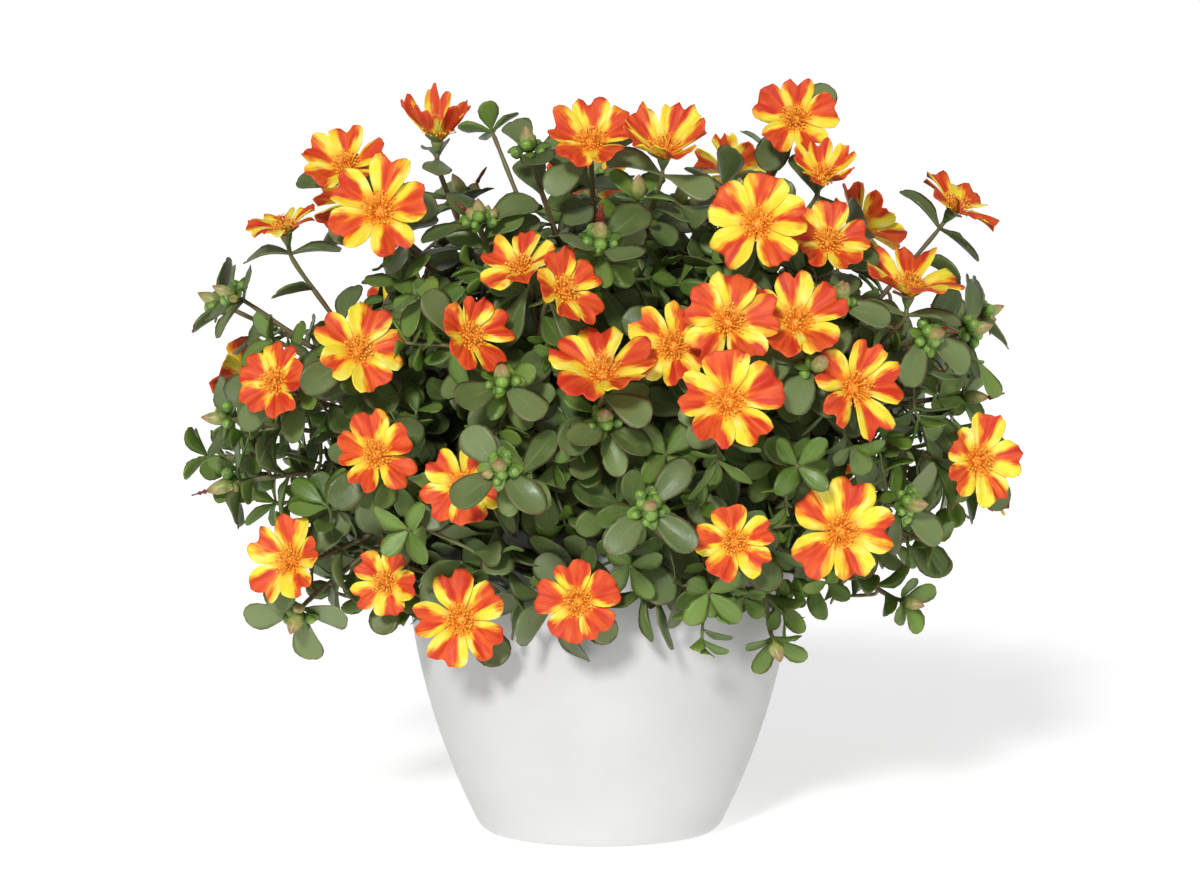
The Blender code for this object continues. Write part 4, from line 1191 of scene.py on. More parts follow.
def leaf_form(plan, size, path, rng, calm):
    """Rings of points round a leaf: rounded edges, a shallow groove above and a slight twist."""
    root, along, upward, length, width, droop = plan
    root, along, upward = (np.array(v) for v in (root, along, upward))
    side = unit(np.cross(upward, along))
    top = np.cross(along, side)
    shift = nearest(path, root) - root
    small = np.clip((0.95 - size) / 0.35, 0.0, 1.0)
    peak = 0.74 - 0.10 * small
    curl = calm * rng.uniform(-0.30, 0.22)
    twist = calm * rng.uniform(-0.5, 0.5)
    cup = calm * rng.uniform(-0.10, 0.55)
    wave = rng.uniform(0.0, TURN)
    shares, sides = (LEAF_ROWS, 8) if size > 0.70 else (SMALL_LEAF_ROWS, 6)
    around = TURN * np.arange(sides) / sides
    rising = np.clip((shares - 0.05) / (peak - 0.05), 0.0, 1.0)
    falling = np.clip((shares - peak) / (1.012 - peak), 0.0, 1.0)
    half = 0.5 * width * np.where(shares < peak, 0.11 + 0.89 * np.sin(0.5 * math.pi * rising) ** 1.35,
                                  np.sqrt(1.0 - falling ** 2.1))
    thick = LEAF_BODY * (1.0 - 0.55 * shares) * size ** 0.5 * np.where(shares > 0.97, 0.6, 1.0)
    rise = -droop * length * shares ** 2 + curl * length * shares ** 3 * 0.5
    middle = root + np.outer(length * shares, along) + np.outer(rise, top)
    middle = middle + np.outer((1 - shares) ** 2, shift)
    turn = (twist * shares)[:, None]
    sideways = side * np.cos(turn) + top * np.sin(turn)
    facing = top * np.cos(turn) - side * np.sin(turn)
    across = np.cos(around)[None, :]
    height = np.sin(around)[None, :]
    half = half[:, None]
    hollow = cup * half * np.sin(math.pi * np.minimum(shares, 1.0) ** 0.7)[:, None]
    level = (LEAF_GROOVE + hollow) * across ** 2
    level = level + 0.10 * half * np.sin(8.0 * shares[:, None] + wave) * across * abs(across)
    level = level + thick[:, None] * np.where(height > 0, 0.35, 0.65) * height
    level = level - RIB_DEPTH * (height > 0.9)
    spots = middle[:, None] + sideways[:, None] * (half * across)[..., None]
    spots = spots + facing[:, None] * level[..., None]
    return spots, form_of(0.5 + 0.5 * across, shares[:, None]), (rng.random(), small)


# A bud's and a capsule's outline: shares of its length, and of its radius
POINTED = (np.array([0.0, 0.06, 0.18, 0.34, 0.50, 0.66, 0.80, 0.90, 0.97, 1.0]),
           np.array([0.30, 0.62, 0.90, 1.0, 0.98, 0.82, 0.56, 0.32, 0.13, 0.03]))
CAPSULE = (np.array([0.0, 0.10, 0.25, 0.42, 0.60, 0.76, 0.89, 0.97, 1.0]),
           np.array([0.35, 0.72, 0.95, 1.0, 0.95, 0.80, 0.52, 0.25, 0.06]))


def bud(shape, plan, pointed, rng):
    """A pointed bud, or a round seed capsule in its cup."""
    centre, along, radius, length = plan
    centre, along = np.array(centre), np.array(along)
    profile = POINTED if pointed else CAPSULE
    length = length if pointed else 2.05 * radius
    base = centre - along * (0.45 * length if pointed else radius)
    path = base + np.outer(profile[0] * length, along)
    kind, lobes = (1.0, 0.07) if pointed else (0.0, 0.0)
    shape.tube(path, profile[1] * radius * 1.08, 12, (rng.random(), kind), BUD, lobes)
    if pointed and rng.random() < 0.16:
        wither(shape, path[-2], along, rng)


def wither(shape, start, along, rng):
    """The dark, twisted remains of a spent bloom at a bud's tip."""
    steps = np.linspace(0.0, 1.0, 7)
    drift = np.array([rng.uniform(-1.0, 1.0) for _ in range(3)])
    path = start + np.outer(steps * WITHERED_LENGTH, along)
    path = path + np.outer(steps ** 2 * WITHERED_DRIFT, drift)
    radii = WITHERED_RADIUS * (1.0 - 0.6 * steps) * np.array([rng.uniform(0.5, 1.3) for _ in steps])
    shape.tube(path, radii, 6, (rng.random(), 0.5), BUD, 0.35)


# A petal's half outline, in degrees from its middle and shares of its length; the columns
# and rows of points that it is built from
PETAL_SPREAD = (0, 4, 8, 12, 16, 20, 24, 28, 31.5, 34.5, 37)
PETAL_REACH = (0.985, 0.99, 1.0, 1.0, 1.0, 0.99, 0.965, 0.915, 0.84, 0.73, 0.60)
PETAL_EDGE = 37.0
PETAL_HALF = [5, 10.5, 16, 22, 28, 31.5, 34.5, 37]
PETAL_COLUMNS = np.array([-column for column in reversed(PETAL_HALF)] + [0] + PETAL_HALF)
PETAL_ROWS = np.array([0.04, 0.16, 0.29, 0.42, 0.55, 0.67, 0.78, 0.87, 0.94, 1.0])


class Face:
    """A bloom's own axes, lengths and the slope of its petals."""

    def __init__(self, tip):
        self.right, self.up, self.out = (np.array(v) for v in tip["axes"])
        self.centre = np.array(tip["centre"])
        self.lift = math.radians(tip["lift"])
        self.length = tip["radius"] / math.cos(0.5 * (PETAL_BASE_LIFT + self.lift))
        self.spin = math.radians(tip["spin"])

    def place(self, share, angle, rise=0.0, tilt=0.0):
        """Points at a share of the petals' length and an angle round the bloom."""
        slope = PETAL_BASE_LIFT + (self.lift - PETAL_BASE_LIFT) * share * 0.5 + tilt * share
        flat = self.length * share * np.cos(slope)
        height = self.length * share * np.sin(slope) + rise - BLOOM_SEAT
        way = np.sin(angle)[..., None] * self.right + np.cos(angle)[..., None] * self.up
        return self.centre + way * flat[..., None] + height[..., None] * self.out


def petal(shape, face, k, red, rng):
    """One heart-shaped petal, notched, ruffled at its edge and lapped over the next."""
    across = PETAL_COLUMNS / PETAL_EDGE
    middle = np.exp(-((PETAL_COLUMNS - rng.uniform(-5, 5)) / rng.uniform(4.5, 8.0)) ** 2)
    reach = np.interp(abs(PETAL_COLUMNS), PETAL_SPREAD, PETAL_REACH) - rng.uniform(0.03, 0.17) * middle
    reach = reach * (rng.uniform(0.98, 1.045) + 0.03 * rng.uniform(-1, 1) * across)
    reach = reach + 0.020 * np.sin(8.0 * across + rng.uniform(0, TURN)) * (abs(across) < 0.95)
    reach = reach + 0.013 * np.sin(17.0 * across + rng.uniform(0, TURN)) * (abs(across) < 0.95)
    share = PETAL_ROWS[:, None] * reach[None, :]
    narrow = rng.uniform(0.88, 1.12)
    angle = face.spin + TURN * k / PETALS + np.radians(PETAL_COLUMNS)[None, :] * narrow
    angle = angle + rng.uniform(-0.09, 0.09) * share
    ruffle = rng.uniform(0.04, 0.09) * np.sin(1.5 * math.pi * across + rng.uniform(0, TURN))
    ruffle = ruffle + rng.uniform(0.02, 0.045) * np.sin(3.6 * math.pi * across + rng.uniform(0, TURN))
    ruffle = ruffle + 0.012 * np.sin(7.5 * math.pi * across + rng.uniform(0, TURN))
    rise = ruffle[None, :] * share ** 2 + rng.uniform(-0.07, 0.15) * across[None, :] ** 2 * share
    rise = rise - rng.uniform(0.01, 0.06) * middle[None, :] * share
    rise = rise - rng.uniform(-0.05, 0.13) * share ** 4
    rise = rise * face.length + PETAL_LAP * across[None, :] * np.minimum(1.0, 3.0 * share)
    spots = face.place(share, angle, rise, rng.uniform(-0.12, 0.15))
    form = form_of(0.5 + 0.5 * across, share)
    thickness = (PETAL_FOOT_THICKNESS - PETAL_THINNING * PETAL_ROWS)[:, None, None]
    redness = min(1.0, max(0.0, red + rng.uniform(-0.22, 0.22)))
    shape.sheet(spots, thickness, form, (rng.random(), redness), PETAL)


def stamens(shape, face, rng):
    """A cushion in the throat, and the filaments that spread from it with their anthers."""
    base = face.centre - face.out * (BLOOM_SEAT * 0.80)
    heights = np.array([0.0, 0.05, 0.10, 0.13, 0.145]) * face.length
    radii = np.array([0.10, 0.135, 0.115, 0.065, 0.01]) * face.length
    shape.tube(base + np.outer(heights, face.out), radii, 10, (0.5, 0.0), STAMEN)
    steps = np.array([0.0, 0.55, 1.0])
    for k in range(STAMENS):
        part = (k + 0.5) / STAMENS
        tilt = math.radians(4.0 + 58.0 * math.sqrt(part)) + rng.uniform(-0.08, 0.08)
        turn = GOLDEN_ANGLE * k
        aside = round_face(face.right, face.up, turn)
        way = face.out * math.cos(tilt) + aside * math.sin(tilt)
        length = face.length * rng.uniform(0.27, 0.37) * (1.0 + 0.08 * part)
        bend = np.outer(np.sin(math.pi * steps) * length * rng.uniform(-0.06, 0.10), face.out)
        path = base + aside * FILAMENT_OFFSET + np.outer(steps * length, way) + bend
        shade = rng.random()
        shape.tube(path, FILAMENT_RADII, 3, (shade, 0.0), STAMEN)
        anther = path[-1] + np.outer(ANTHER_PLACES, way)
        shape.tube(anther, ANTHER_RADII * rng.uniform(0.8, 1.15), 5, (shade, 1.0), STAMEN)
    style(shape, face, base, rng)


def style(shape, face, base, rng):
    """The style in the middle, with arms that curl outwards."""
    lean = face.right * rng.uniform(-0.3, 0.3) + face.up * rng.uniform(-0.3, 0.3)
    way = unit(face.out + lean)
    top = face.length * rng.uniform(0.34, 0.40)
    stalk = base + np.outer(np.linspace(0, top, 5), way)
    shape.tube(stalk, np.full(5, STYLE_RADII[0]), 5, (0.5, 0.6), STAMEN)
    for k in range(STYLE_ARMS):
        turn = TURN * k / STYLE_ARMS + rng.uniform(-0.2, 0.2)
        aside = round_face(face.right, face.up, turn)
        bend = np.linspace(0.0, 1.9, 6)
        curl = STYLE_CURL * rng.uniform(0.8, 1.2)
        path = base + way * top + np.outer((1 - np.cos(bend)) * curl, aside)
        path = path + np.outer(np.sin(bend) * curl, way)
        shape.tube(path, np.linspace(*STYLE_RADII[1:], 6), 4, (0.5, 0.6), STAMEN)


def calyx(shape, face, rng):
    """The green cup under a bloom, and the two pointed sepals that clasp its petals."""
    heights = np.concatenate([CUP_FOOT - (BLOOM_SEAT + CALYX_DEPTH), CUP_BRIM - BLOOM_SEAT])
    path = face.centre + np.outer(heights, face.out)
    shape.tube(path, CUP_RADII, 10, (rng.random(), 0.3), GREEN)
    rows = np.linspace(SEPAL_FROM, SEPAL_TO, 8)
    columns = np.linspace(-1.0, 1.0, 9)
    for k in range(SEPALS):
        width = np.radians(62.0) * (1.0 - ((rows - SEPAL_FROM) / 0.345) ** 1.8)
        angle = face.spin + math.pi * (k + 0.2) + width[:, None] * columns[None, :]
        share = rows[:, None] * np.ones_like(angle)
        rise = np.full_like(share, -SEPAL_DROP - SEPAL_STEP * k)
        form = form_of(0.5 + 0.5 * columns, ((rows - SEPAL_FROM) / (SEPAL_TO - SEPAL_FROM))[:, None])
        shape.sheet(face.place(share, angle, rise), SEPAL_THICKNESS, form, (rng.random(), 0.3), GREEN)


def build_bloom(tip, finishes):
    """One bloom. Returns its lowest and highest corners and its faces as a tree."""
    number = tip["number"]
    rng = random.Random(SEED + 300 + number)
    shape = Shape()
    face = Face(tip)
    red = BLOOM_RED.get(number, USUAL_RED)
    for k in range(PETALS):
        petal(shape, face, k, red, rng)
    stamens(shape, face, rng)
    calyx(shape, face, rng)
    shape.build(f"striped_{tip['name']}", finishes, [tip["name"]])
    spots = np.concatenate(shape.spots)
    return spots.min(0), spots.max(0), BVHTree.FromPolygons([Vector(p) for p in spots], shape.faces)


def build_stem(stem, number, finishes, blooms):
    """A whole leafy stem: trunk, branches, shoots, leaves, buds and capsules."""
    rng = random.Random(SEED + 600 + number)
    shape = Shape()
    trunk = rounded(stem["trunk"], TRUNK_ROUNDING)
    paths = {tip["key"]: rounded(tip["path"]) for tip in stem["tips"]}
    twigs = [rounded(path, TWIG_ROUNDING, TWIG_SPACING) for path in stem["twigs"]]
    limbs = [(trunk, (TRUNK_RADIUS, TRUNK_TOP_RADIUS), 0.0)]
    limbs += [(path, (1.1 * BRANCH_RADIUS, 0.92 * TIP_RADIUS), 0.4) for path in paths.values()]
    limbs += [(path, (TWIG_RADIUS, 0.75 * TWIG_RADIUS), 0.8) for path in twigs]
    for path, ends, age in limbs:
        swell = 1.0 + 0.10 * np.sin(np.arange(len(path)) * 1.7 + rng.uniform(0, TURN))
        shape.tube(path, np.linspace(*ends, len(path)) * swell, 8, (rng.random(), age), BARK)
    for plan, size, key in stem["leaves"]:
        path = paths.get(key)
        if path is None:
            path = min(twigs, key=lambda p: ((p - np.array(plan[0])) ** 2).sum(1).min())
        leaf(shape, plan, size, path, rng, blooms)
    for plan, k in stem["buds"]:
        bud(shape, plan, k == 0 or k == 4, rng)
    for tip in stem["tips"]:
        if tip.get("buds", 0) > 1:
            crowd_head(shape, tip, rng, blooms)
    shape.build("leafy_" + stem["name"], finishes, ["stem_" + stem["name"]])


def crowd_head(shape, tip, rng, blooms):
    """More small capsules and short bracts round the buds of a head, clear of the blooms."""
    right, up, out = (np.array(v) for v in tip["axes"])
    centre = np.array(tip["centre"])
    for k in range(tip["buds"] + 1):
        angle = GOLDEN_ANGLE * (k + 0.5)
        way = round_face(right, up, angle)
        radius = BUD_RADIUS * rng.uniform(0.55, 0.8)
        place = centre + way * (1.75 * BUD_RADIUS) - out * rng.uniform(0.0, HEAD_DEPTH)
        if all(tree.find_nearest(Vector(place))[3] > 1.6 * radius for _, _, tree in blooms):
            plan = (place, unit(way + out * 0.9), radius, 2.4 * radius)
            bud(shape, plan, rng.random() < 0.2, rng)
    path = np.array([centre - out * BRACT_STALK, centre])
    for k in range(BRACTS):
        angle = TURN * k / BRACTS + rng.uniform(-0.3, 0.3)
        way = round_face(right, up, angle)
        along = unit(way + out * 0.25)
        upward = unit(out - along * out.dot(along))
        plan = (centre - out * HEAD_DEPTH, along, upward, BRACT_LENGTH, BRACT_WIDTH, 0.1)
        leaf(shape, plan, 0.6, path, rng, blooms)


class Look:
    """A material with a Principled shader, and short calls for the nodes that feed it."""

    def __init__(self, name, roughness, **uniform):
        self.material = bpy.data.materials.new(name)
        self.material.use_nodes = True
        self.tree = self.material.node_tree
        self.shader = self.tree.nodes["Principled BSDF"]
        self.shader.inputs["Roughness"].default_value = roughness
        for socket, value in uniform.items():
            self.shader.inputs[socket.replace("_", " ")].default_value = value

    def node(self, kind, inputs, output=0, **settings):
        """The output of a new node, with a value or a link for each of the inputs named."""
        made = self.tree.nodes.new(kind)
        for key, value in settings.items():
            setattr(made, key, value)
        for key, value in inputs.items():
            if isinstance(value, bpy.types.NodeSocket):
                self.tree.links.new(value, made.inputs[key])
            else:
                made.inputs[key].default_value = value
        return made.outputs[output]

    def maths(self, operation, *values):
        return self.node("ShaderNodeMath", dict(enumerate(values)), operation=operation)

    def plus(self, a, b):
        return self.maths("ADD", a, b)

    def minus(self, a, b):
        return self.maths("SUBTRACT", a, b)

    def times(self, a, b):
        return self.maths("MULTIPLY", a, b)

    def scaled(self, a, factor, shift):
        return self.maths("MULTIPLY_ADD", a, factor, shift)

    def larger(self, a, b):
        return self.maths("MAXIMUM", a, b)

    def size_of(self, a):
        return self.maths("ABSOLUTE", a)

    def smooth(self, value, low, high, bottom=0.0, top=1.0):
        """A value eased from bottom to top between low and high."""
        inputs = {"Value": value, "From Min": low, "From Max": high, "To Min": bottom, "To Max": top}
        return self.node("ShaderNodeMapRange", inputs, interpolation_type="SMOOTHSTEP")

    def mix(self, factor, a, b):
        """Two colours mixed, each given as a socket or as its three values."""
        a, b = (v if isinstance(v, bpy.types.NodeSocket) else (*v, 1.0) for v in (a, b))
        return self.node("ShaderNodeMix", {0: factor, 6: a, 7: b}, 2, data_type="RGBA")

    def pair(self, layer):
        """The two values of a UV layer."""
        uv = self.node("ShaderNodeUVMap", {}, uv_map=layer)
        return [self.node("ShaderNodeSeparateXYZ", {0: uv}, index) for index in (0, 1)]

    def place(self, x, y, z=0.0):
        return self.node("ShaderNodeCombineXYZ", {0: x, 1: y, 2: z})

    def noise(self, vector, scale, detail=2.0):
        return self.node("ShaderNodeTexNoise", {"Vector": vector, "Scale": scale, "Detail": detail})

    def body(self):
        """A place on the object, in metres."""
        return self.node("ShaderNodeTexCoord", {}, 3)

    def colour(self, socket):
        self.tree.links.new(socket, self.shader.inputs["Base Color"])

    def rough(self, socket):
        self.tree.links.new(socket, self.shader.inputs["Roughness"])

    def bump(self, height, strength, distance):
        bumped = self.node("ShaderNodeBump", {"Height": height, "Strength": strength, "Distance": distance})
        self.tree.links.new(bumped, self.shader.inputs["Normal"])


def petal_look():
    """Red wedges that widen from an orange throat, on yellow, with soft borders and fine veins."""
    look = Look("striped_petal", 0.55, Specular_IOR_Level=0.35, Subsurface_Weight=0.10,
                Subsurface_Scale=0.002)
    across, along = look.pair("form")
    chance, red = look.pair("tint")
    shift = look.times(chance, 47.0)
    centre = look.scaled(chance, 0.20, 0.40)
    aside = look.times(look.size_of(look.minus(across, centre)), 2.0)
    streaks = look.noise(look.place(look.scaled(across, 7.0, shift),
                                    look.scaled(along, 1.6, shift)), 1.0, 3.0)
    stray = look.minus(streaks, 0.5)
    blotch = look.noise(look.place(look.scaled(across, 2.2, shift),
                                   look.scaled(along, 2.6, shift)), 1.0, 1.0)
    tip_width = look.scaled(red, 0.72, 0.20)
    spread = look.smooth(along, 0.05, 0.85)
    width = look.scaled(spread, look.minus(tip_width, 0.12), 0.12)
    veins = look.noise(look.place(look.scaled(across, 46.0, shift),
                                  look.times(along, 3.0)), 1.0, 2.0)
    loose = look.scaled(look.minus(blotch, 0.5), 0.60, look.times(stray, 0.75))
    loose = look.scaled(look.minus(veins, 0.5), 0.30, loose)
    inside = look.plus(look.minus(width, aside), loose)
    wedge = look.smooth(inside, -0.24, 0.20)
    rim = look.smooth(look.scaled(stray, 0.30, along), 0.70, 0.92)
    rim = look.times(rim, look.smooth(red, 0.45, 0.80))
    redness = look.larger(wedge, rim)
    yellow = look.mix(look.smooth(veins, 0.3, 0.7), (0.88, 0.66, 0.028), (0.92, 0.78, 0.060))
    yellow = look.mix(look.smooth(blotch, 0.40, 0.75, 0.0, 0.8), yellow, (0.95, 0.87, 0.25))
    deep = look.mix(look.smooth(streaks, 0.30, 0.70), (0.76, 0.110, 0.018), (0.56, 0.028, 0.007))
    painted = look.mix(look.smooth(redness, 0.0, 0.45), yellow, (0.90, 0.38, 0.018))
    painted = look.mix(look.smooth(redness, 0.40, 0.95), painted, deep)
    throat = look.smooth(look.scaled(stray, 0.16, along), 0.20, 0.56, 0.95, 0.0)
    look.colour(look.mix(throat, painted, (0.92, 0.31, 0.014)))
    look.bump(look.plus(veins, look.times(streaks, 2.0)), 0.35, 0.0006)
    return look.material


def leaf_look():
    """Fleshy leaves: grey-green and purple-edged when large, brighter when small, and darkened to near
    black deep inside the mound as painted shade.
    """
    look = Look("fleshy_leaf", 0.46, Specular_IOR_Level=0.4, Subsurface_Weight=0.12,
                Subsurface_Scale=0.0015)
    across, along = look.pair("form")
    chance, small = look.pair("tint")
    aside = look.size_of(look.scaled(across, 2.0, -1.0))
    body = look.body()
    mottle = look.noise(body, 130.0, 4.0)
    large = look.mix(chance, (0.062, 0.102, 0.021), (0.180, 0.240, 0.092))
    young = look.mix(chance, (0.070, 0.150, 0.012), (0.155, 0.275, 0.030))
    green = look.mix(small, large, young)
    # Painted shade: leaves nearer the dome's centre get a near-black green, standing in for the shade deep
    # inside the mound.
    apart = look.node("ShaderNodeVectorMath", {0: body, 1: tuple(DOME_CENTRE)}, operation="SUBTRACT")
    apart = look.node("ShaderNodeVectorMath", {0: apart, 1: tuple(DOME_RADII)}, operation="DIVIDE")
    outward = look.node("ShaderNodeVectorMath", {0: apart}, "Value", operation="LENGTH")
    green = look.mix(look.smooth(outward, 0.45, 0.90, 0.60, 0.0), green, (0.020, 0.034, 0.009))
    green = look.mix(look.smooth(mottle, 0.35, 0.75, 0.0, 0.45), green, (0.160, 0.190, 0.062))
    rib = look.times(look.smooth(aside, 0.0, 0.14, 0.5, 0.0), look.smooth(along, 0.35, 0.95, 1.0, 0.0))
    green = look.mix(rib, green, (0.205, 0.260, 0.085))
    cells = look.node("ShaderNodeTexVoronoi", {"Vector": body, "Scale": 420.0, "Randomness": 1.0})
    green = look.mix(look.smooth(cells, 0.05, 0.22, 0.22, 0.0), green, (0.290, 0.350, 0.170))
    edge = look.larger(look.smooth(aside, 0.86, 0.98), look.smooth(along, 0.955, 1.0))
    edge = look.times(edge, look.smooth(look.noise(body, 60.0), 0.38, 0.62))
    edge = look.times(edge, look.scaled(small, -0.75, 0.85))
    look.colour(look.mix(edge, green, (0.120, 0.036, 0.042)))
    look.rough(look.smooth(mottle, 0.2, 0.8, 0.32, 0.52))
    look.bump(look.minus(look.noise(body, 900.0), rib), 0.25, 0.0004)
    return look.material


def bark_look():
    """Brown and red at the foot of a stem, olive and green towards its tips."""
    look = Look("stem_skin", 0.50)
    _, along = look.pair("form")
    chance, age = look.pair("tint")
    body = look.body()
    patches = look.noise(body, 70.0, 4.0)
    youth = look.plus(look.times(age, 0.55), look.times(along, 0.40))
    youth = look.plus(youth, look.scaled(patches, 0.7, -0.40))
    old = look.mix(chance, (0.110, 0.052, 0.026), (0.165, 0.085, 0.036))
    young = look.mix(chance, (0.135, 0.150, 0.045), (0.150, 0.205, 0.070))
    look.colour(look.mix(look.smooth(youth, 0.25, 0.85), old, young))
    look.bump(look.noise(body, 1400.0, 3.0), 0.35, 0.0003)
    return look.material


def bud_look():
    """Green capsules with a paler cap, cream buds with a pink point, dark withered remains."""
    look = Look("bud_and_capsule", 0.40, Subsurface_Weight=0.08, Subsurface_Scale=0.001)
    _, along = look.pair("form")
    _, kind = look.pair("tint")
    capsule = look.mix(look.smooth(along, 0.30, 0.85), (0.085, 0.175, 0.032), (0.210, 0.360, 0.055))
    ring = look.smooth(look.size_of(look.minus(along, 0.60)), 0.02, 0.06, 0.6, 0.0)
    capsule = look.mix(ring, capsule, (0.050, 0.095, 0.018))
    pale = look.mix(look.smooth(along, 0.10, 0.60), (0.150, 0.220, 0.045), (0.380, 0.380, 0.120))
    pale = look.mix(look.smooth(along, 0.40, 0.95, 0.0, 0.85), pale, (0.330, 0.120, 0.075))
    whole = look.mix(look.smooth(kind, 0.6, 0.9), (0.190, 0.016, 0.010), pale)
    whole = look.mix(look.smooth(kind, 0.1, 0.4, 1.0, 0.0), whole, capsule)
    speckle = look.noise(look.body(), 500.0, 3.0)
    shade = look.smooth(speckle, 0.3, 0.7, 0.75, 1.15)
    look.colour(look.node("ShaderNodeVectorMath", {0: whole, "Scale": shade}, operation="SCALE"))
    look.bump(speckle, 0.25, 0.0004)
    return look.material


def stamen_look():
    """Orange-red filaments, golden anthers and a paler style."""
    look = Look("stamen", 0.60)
    _, along = look.pair("form")
    chance, kind = look.pair("tint")
    thread = look.mix(along, (0.950, 0.270, 0.020), (0.980, 0.440, 0.040))
    anther = look.mix(chance, (0.960, 0.340, 0.022), (1.000, 0.640, 0.090))
    look.colour(look.mix(look.smooth(kind, 0.5, 0.9), thread, anther))
    look.bump(look.noise(look.body(), 3000.0), 0.3, 0.0002)
    return look.material


def sepal_look():
    """Green sepals, flushed with red towards their points."""
    look = Look("sepal", 0.50)
    _, along = look.pair("form")
    chance, _ = look.pair("tint")
    patches = look.noise(look.body(), 300.0, 3.0)
    green = look.mix(chance, (0.100, 0.180, 0.045), (0.160, 0.240, 0.070))
    flush = look.times(look.smooth(along, 0.45, 1.0), look.smooth(patches, 0.3, 0.7))
    look.colour(look.mix(flush, green, (0.300, 0.090, 0.045)))
    look.bump(patches, 0.3, 0.0004)
    return look.material


def pot_look():
    """Smooth white moulded plastic, with faint handling marks, and darker, browner patches towards its
    foot.
    """
    look = Look("moulded_white_plastic", 0.42, Specular_IOR_Level=0.25)
    body = look.body()
    height = look.node("ShaderNodeSeparateXYZ", {0: body}, 2)
    cloud = look.noise(body, 26.0, 5.0)
    white = look.mix(look.smooth(cloud, 0.3, 0.75), (0.565, 0.565, 0.563), (0.605, 0.605, 0.603))
    # Darker and browner in patches within about 22 mm of the foot.
    darker_foot = look.times(look.smooth(height, 0.0, 0.022, 0.30, 0.0), look.smooth(cloud, 0.35, 0.7))
    look.colour(look.mix(darker_foot, white, (0.450, 0.437, 0.415)))
    look.rough(look.smooth(look.noise(body, 160.0, 4.0), 0.25, 0.8, 0.36, 0.52))
    look.bump(look.noise(body, 750.0, 2.0), 0.06, 0.0003)
    return look.material


def soil_look():
    """Dark peat in crumbs and grains."""
    look = Look("dark_peat", 0.92)
    body = look.body()
    crumbs = look.noise(body, 420.0, 6.0)
    grain = look.node("ShaderNodeTexVoronoi", {"Vector": body, "Scale": 520.0})
    dark = look.mix(look.smooth(crumbs, 0.35, 0.7), (0.014, 0.009, 0.006), (0.060, 0.038, 0.022))
    look.colour(look.mix(look.smooth(grain, 0.0, 0.6, 0.5, 0.0), dark, (0.095, 0.062, 0.036)))
    look.bump(look.plus(crumbs, grain), 0.8, 0.0012)
    return look.material


def perlite_look():
    """Dull white perlite with fine pores."""
    look = Look("perlite", 0.85)
    pores = look.noise(look.body(), 1500.0, 3.0)
    look.colour(look.mix(look.smooth(pores, 0.35, 0.7), (0.520, 0.500, 0.460), (0.800, 0.790, 0.760)))
    look.bump(pores, 0.6, 0.0005)
    return look.material


def turned_rings(profile, sides):
    """Rings round the Z axis from a list of radii and heights."""
    angles = TURN * np.arange(sides) / sides
    return np.array([[(r * math.cos(a), r * math.sin(a), z) for a in angles] for r, z in profile])


def pot_profile():
    """Radii and heights from under the base up the outside, over the round lip and down inside."""
    half = 0.5 * POT_WALL
    profile = [(CENTRE_RING, 0.0), (POT_BASE_RADIUS - POT_BASE_ROUNDING, 0.0)]
    for part in np.linspace(0.12, 1.0, 7):
        height = POT_BASE_ROUNDING * 1.3 * part
        drawn = POT_BASE_ROUNDING * (1.0 - math.sqrt(1.0 - (1.0 - part) ** 2))
        profile.append((pot_radius(height) - drawn * 0.9, height))
    for height in np.linspace(2.0 * POT_BASE_ROUNDING, POT_HEIGHT - half, OUTER_RINGS):
        profile.append((pot_radius(height), height))
    for angle in np.linspace(0.0, math.pi, 9)[1:-1]:
        radius = POT_RIM_RADIUS - half + half * math.cos(angle)
        profile.append((radius, POT_HEIGHT - half + half * math.sin(angle)))
    for height in np.linspace(POT_HEIGHT - half, 2.0 * POT_FLOOR, INNER_RINGS):
        profile.append((pot_radius(height) - POT_WALL, height))
    profile.append((pot_radius(POT_FLOOR) - 2.2 * POT_WALL, POT_FLOOR))
    profile.append((CENTRE_RING, POT_FLOOR))
    return profile


def build_pot():
    """The pot, turned from its profile."""
    shape = Shape()
    shape.solid(turned_rings(pot_profile(), POT_SIDES), (0.0, 0.0), (0.5, 0.5), 0)
    shape.build("white_pot", [pot_look()], ["pot"])


def soil_height(share):
    """Height of the heaped soil at a share of the way from its middle to its edge."""
    return SOIL_CENTRE_HEIGHT - (SOIL_CENTRE_HEIGHT - SOIL_EDGE_HEIGHT) * share ** 2


def build_soil():
    """Crumbly peat heaped in the pot, with lumps and a few grains of perlite on it."""
    shape = Shape()
    rng = random.Random(SEED + 700)
    inset = POT_WALL + 4.0 * SEAT_GAP
    floor = POT_FLOOR + SEAT_GAP
    profile = [(CENTRE_RING, floor), (pot_radius(floor) - 3.4 * POT_WALL, floor)]
    profile += [(pot_radius(z) - inset, z) for z in np.linspace(0.03, SOIL_EDGE_HEIGHT - 0.001, 10)]
    top_row = len(profile)
    edge = pot_radius(SOIL_EDGE_HEIGHT) - inset
    profile += [(edge * share, soil_height(share)) for share in np.linspace(0.985, 0.02, 26)]
    rings = turned_rings(profile, SOIL_SIDES)
    for row in range(top_row + 1, len(profile)):
        rings[row, :, 2] += [rng.uniform(-SOIL_ROUGHNESS, SOIL_ROUGHNESS) for _ in range(SOIL_SIDES)]
    shape.solid(rings, (0.0, 0.0), (0.5, 0.5), PEAT)
    for k in range(GRAINS):
        radius = edge * math.sqrt(rng.random()) * 0.97
        angle = rng.uniform(0.0, TURN)
        size = rng.uniform(*GRAIN_SIZES)
        centre = np.array([radius * math.cos(angle), radius * math.sin(angle), soil_height(radius / edge)])
        lump(shape, centre, size, PERLITE if k % PERLITE_EVERY == 0 else PEAT, rng)
    shape.build("peat", [soil_look(), perlite_look()], ["soil"])


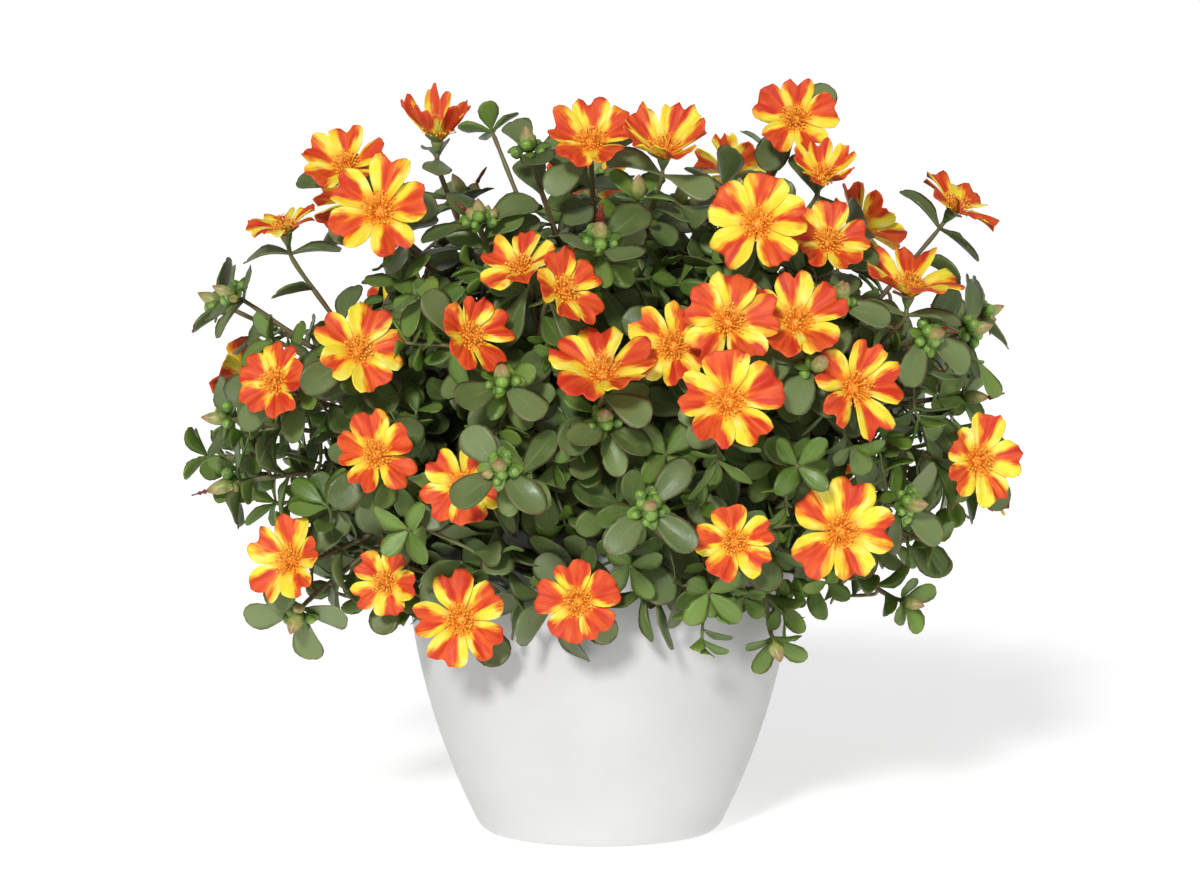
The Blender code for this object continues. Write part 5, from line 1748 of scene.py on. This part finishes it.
def lump(shape, centre, size, finish, rng):
    """A rough grain, as a short closed tube of uneven rings."""
    way = unit(np.array([rng.uniform(-1, 1), rng.uniform(-1, 1), rng.uniform(-0.4, 0.4)]))
    path = centre + np.outer(np.array([-1.0, -0.7, 0.0, 0.7, 1.0]) * size, way)
    radii = np.array([0.3, 0.8, 1.0, 0.8, 0.3]) * size * rng.uniform(0.6, 0.9)
    radii = radii * np.array([rng.uniform(0.8, 1.2) for _ in radii])
    shape.tube(path, radii, 7, (0.5, 0.5), finish, 0.12)


def stage_set():
    """A white floor and backdrop, soft light from the upper left, and the camera."""
    bpy.ops.mesh.primitive_circle_add(vertices=96, radius=FLOOR_RADIUS, fill_type="NGON",
                                      location=(0, 0, -FLOOR_DROP))
    floor = bpy.context.object
    floor.name = "floor"
    look = Look("pale_floor", 0.8, Specular_IOR_Level=0.2, Emission_Color=(1, 1, 1, 1),
                Emission_Strength=FLOOR_GLOW)
    cloud = look.noise(look.body(), 4.0, 3.0)
    look.colour(look.mix(cloud, (0.900, 0.900, 0.900), (0.925, 0.925, 0.925)))
    floor.data.materials.append(look.material)
    light_world()
    add_sun("key", *KEY_LIGHT)
    add_sun("fill", *FILL_LIGHT)
    add_camera()
    bpy.context.scene.view_settings.view_transform = "Standard"


def add_camera():
    """The camera of the photograph."""
    lens = bpy.data.cameras.new("camera")
    lens.sensor_width = 36.0
    lens.lens = FOCAL_LENGTH
    lens.clip_start = 0.05
    camera = bpy.data.objects.new("camera", lens)
    camera.location = EYE
    camera.rotation_euler = (EYE - AIM).to_track_quat("Z", "Y").to_euler()
    bpy.context.scene.collection.objects.link(camera)
    bpy.context.scene.camera = camera


def add_sun(name, towards, strength, spread):
    """A distant soft light that stands in a direction and has a spread in degrees."""
    sun = bpy.data.lights.new(name, "SUN")
    sun.energy = strength
    sun.angle = math.radians(spread)
    lamp = bpy.data.objects.new(name, sun)
    lamp.rotation_euler = Vector(towards).to_track_quat("Z", "Y").to_euler()
    bpy.context.scene.collection.objects.link(lamp)


def light_world():
    """A dim white room with a bright backdrop behind the plant."""
    world = bpy.data.worlds.new("studio")
    bpy.context.scene.world = world
    world.use_nodes = True
    tree = world.node_tree
    way = tree.nodes.new("ShaderNodeTexCoord")
    split = tree.nodes.new("ShaderNodeSeparateXYZ")
    tree.links.new(way.outputs["Generated"], split.inputs[0])
    fade = tree.nodes.new("ShaderNodeMapRange")
    fade.interpolation_type = "SMOOTHSTEP"
    fade.inputs["From Min"].default_value = 0.80
    fade.inputs["From Max"].default_value = 0.96
    fade.inputs["To Min"].default_value = ROOM_LIGHT
    fade.inputs["To Max"].default_value = BACKDROP_LIGHT
    tree.links.new(split.outputs[1], fade.inputs["Value"])
    background = tree.nodes["Background"]
    tree.links.new(fade.outputs[0], background.inputs["Strength"])
    background.inputs["Color"].default_value = (1.0, 1.0, 1.0, 1.0)


def main():
    """Grow the plant as in the CAD part, grow more on it, and build each piece."""
    stems = plan_tips()
    placed = Placed()
    for name in ("pot", "soil"):
        placed.add(name, name, node_cage(name))
    place_blooms(stems, placed)
    grow_trunks(stems, placed)
    grow_branches(stems, placed)
    grow_buds(stems, placed)
    grow_leaves(stems, placed)
    guard_blooms(stems, placed)
    more_leaves(stems, placed)
    side_shoots(stems, placed)
    green = [bark_look(), leaf_look(), bud_look()]
    bright = [petal_look(), stamen_look(), sepal_look()]
    tips = [tip for stem in stems for tip in stem["tips"]]
    blooms = [build_bloom(tip, bright) for tip in tips if tip["kind"] == "bloom"]
    for number, stem in enumerate(stems):
        build_stem(stem, number, green, blooms)
    build_pot()
    build_soil()
    stage_set()


main()
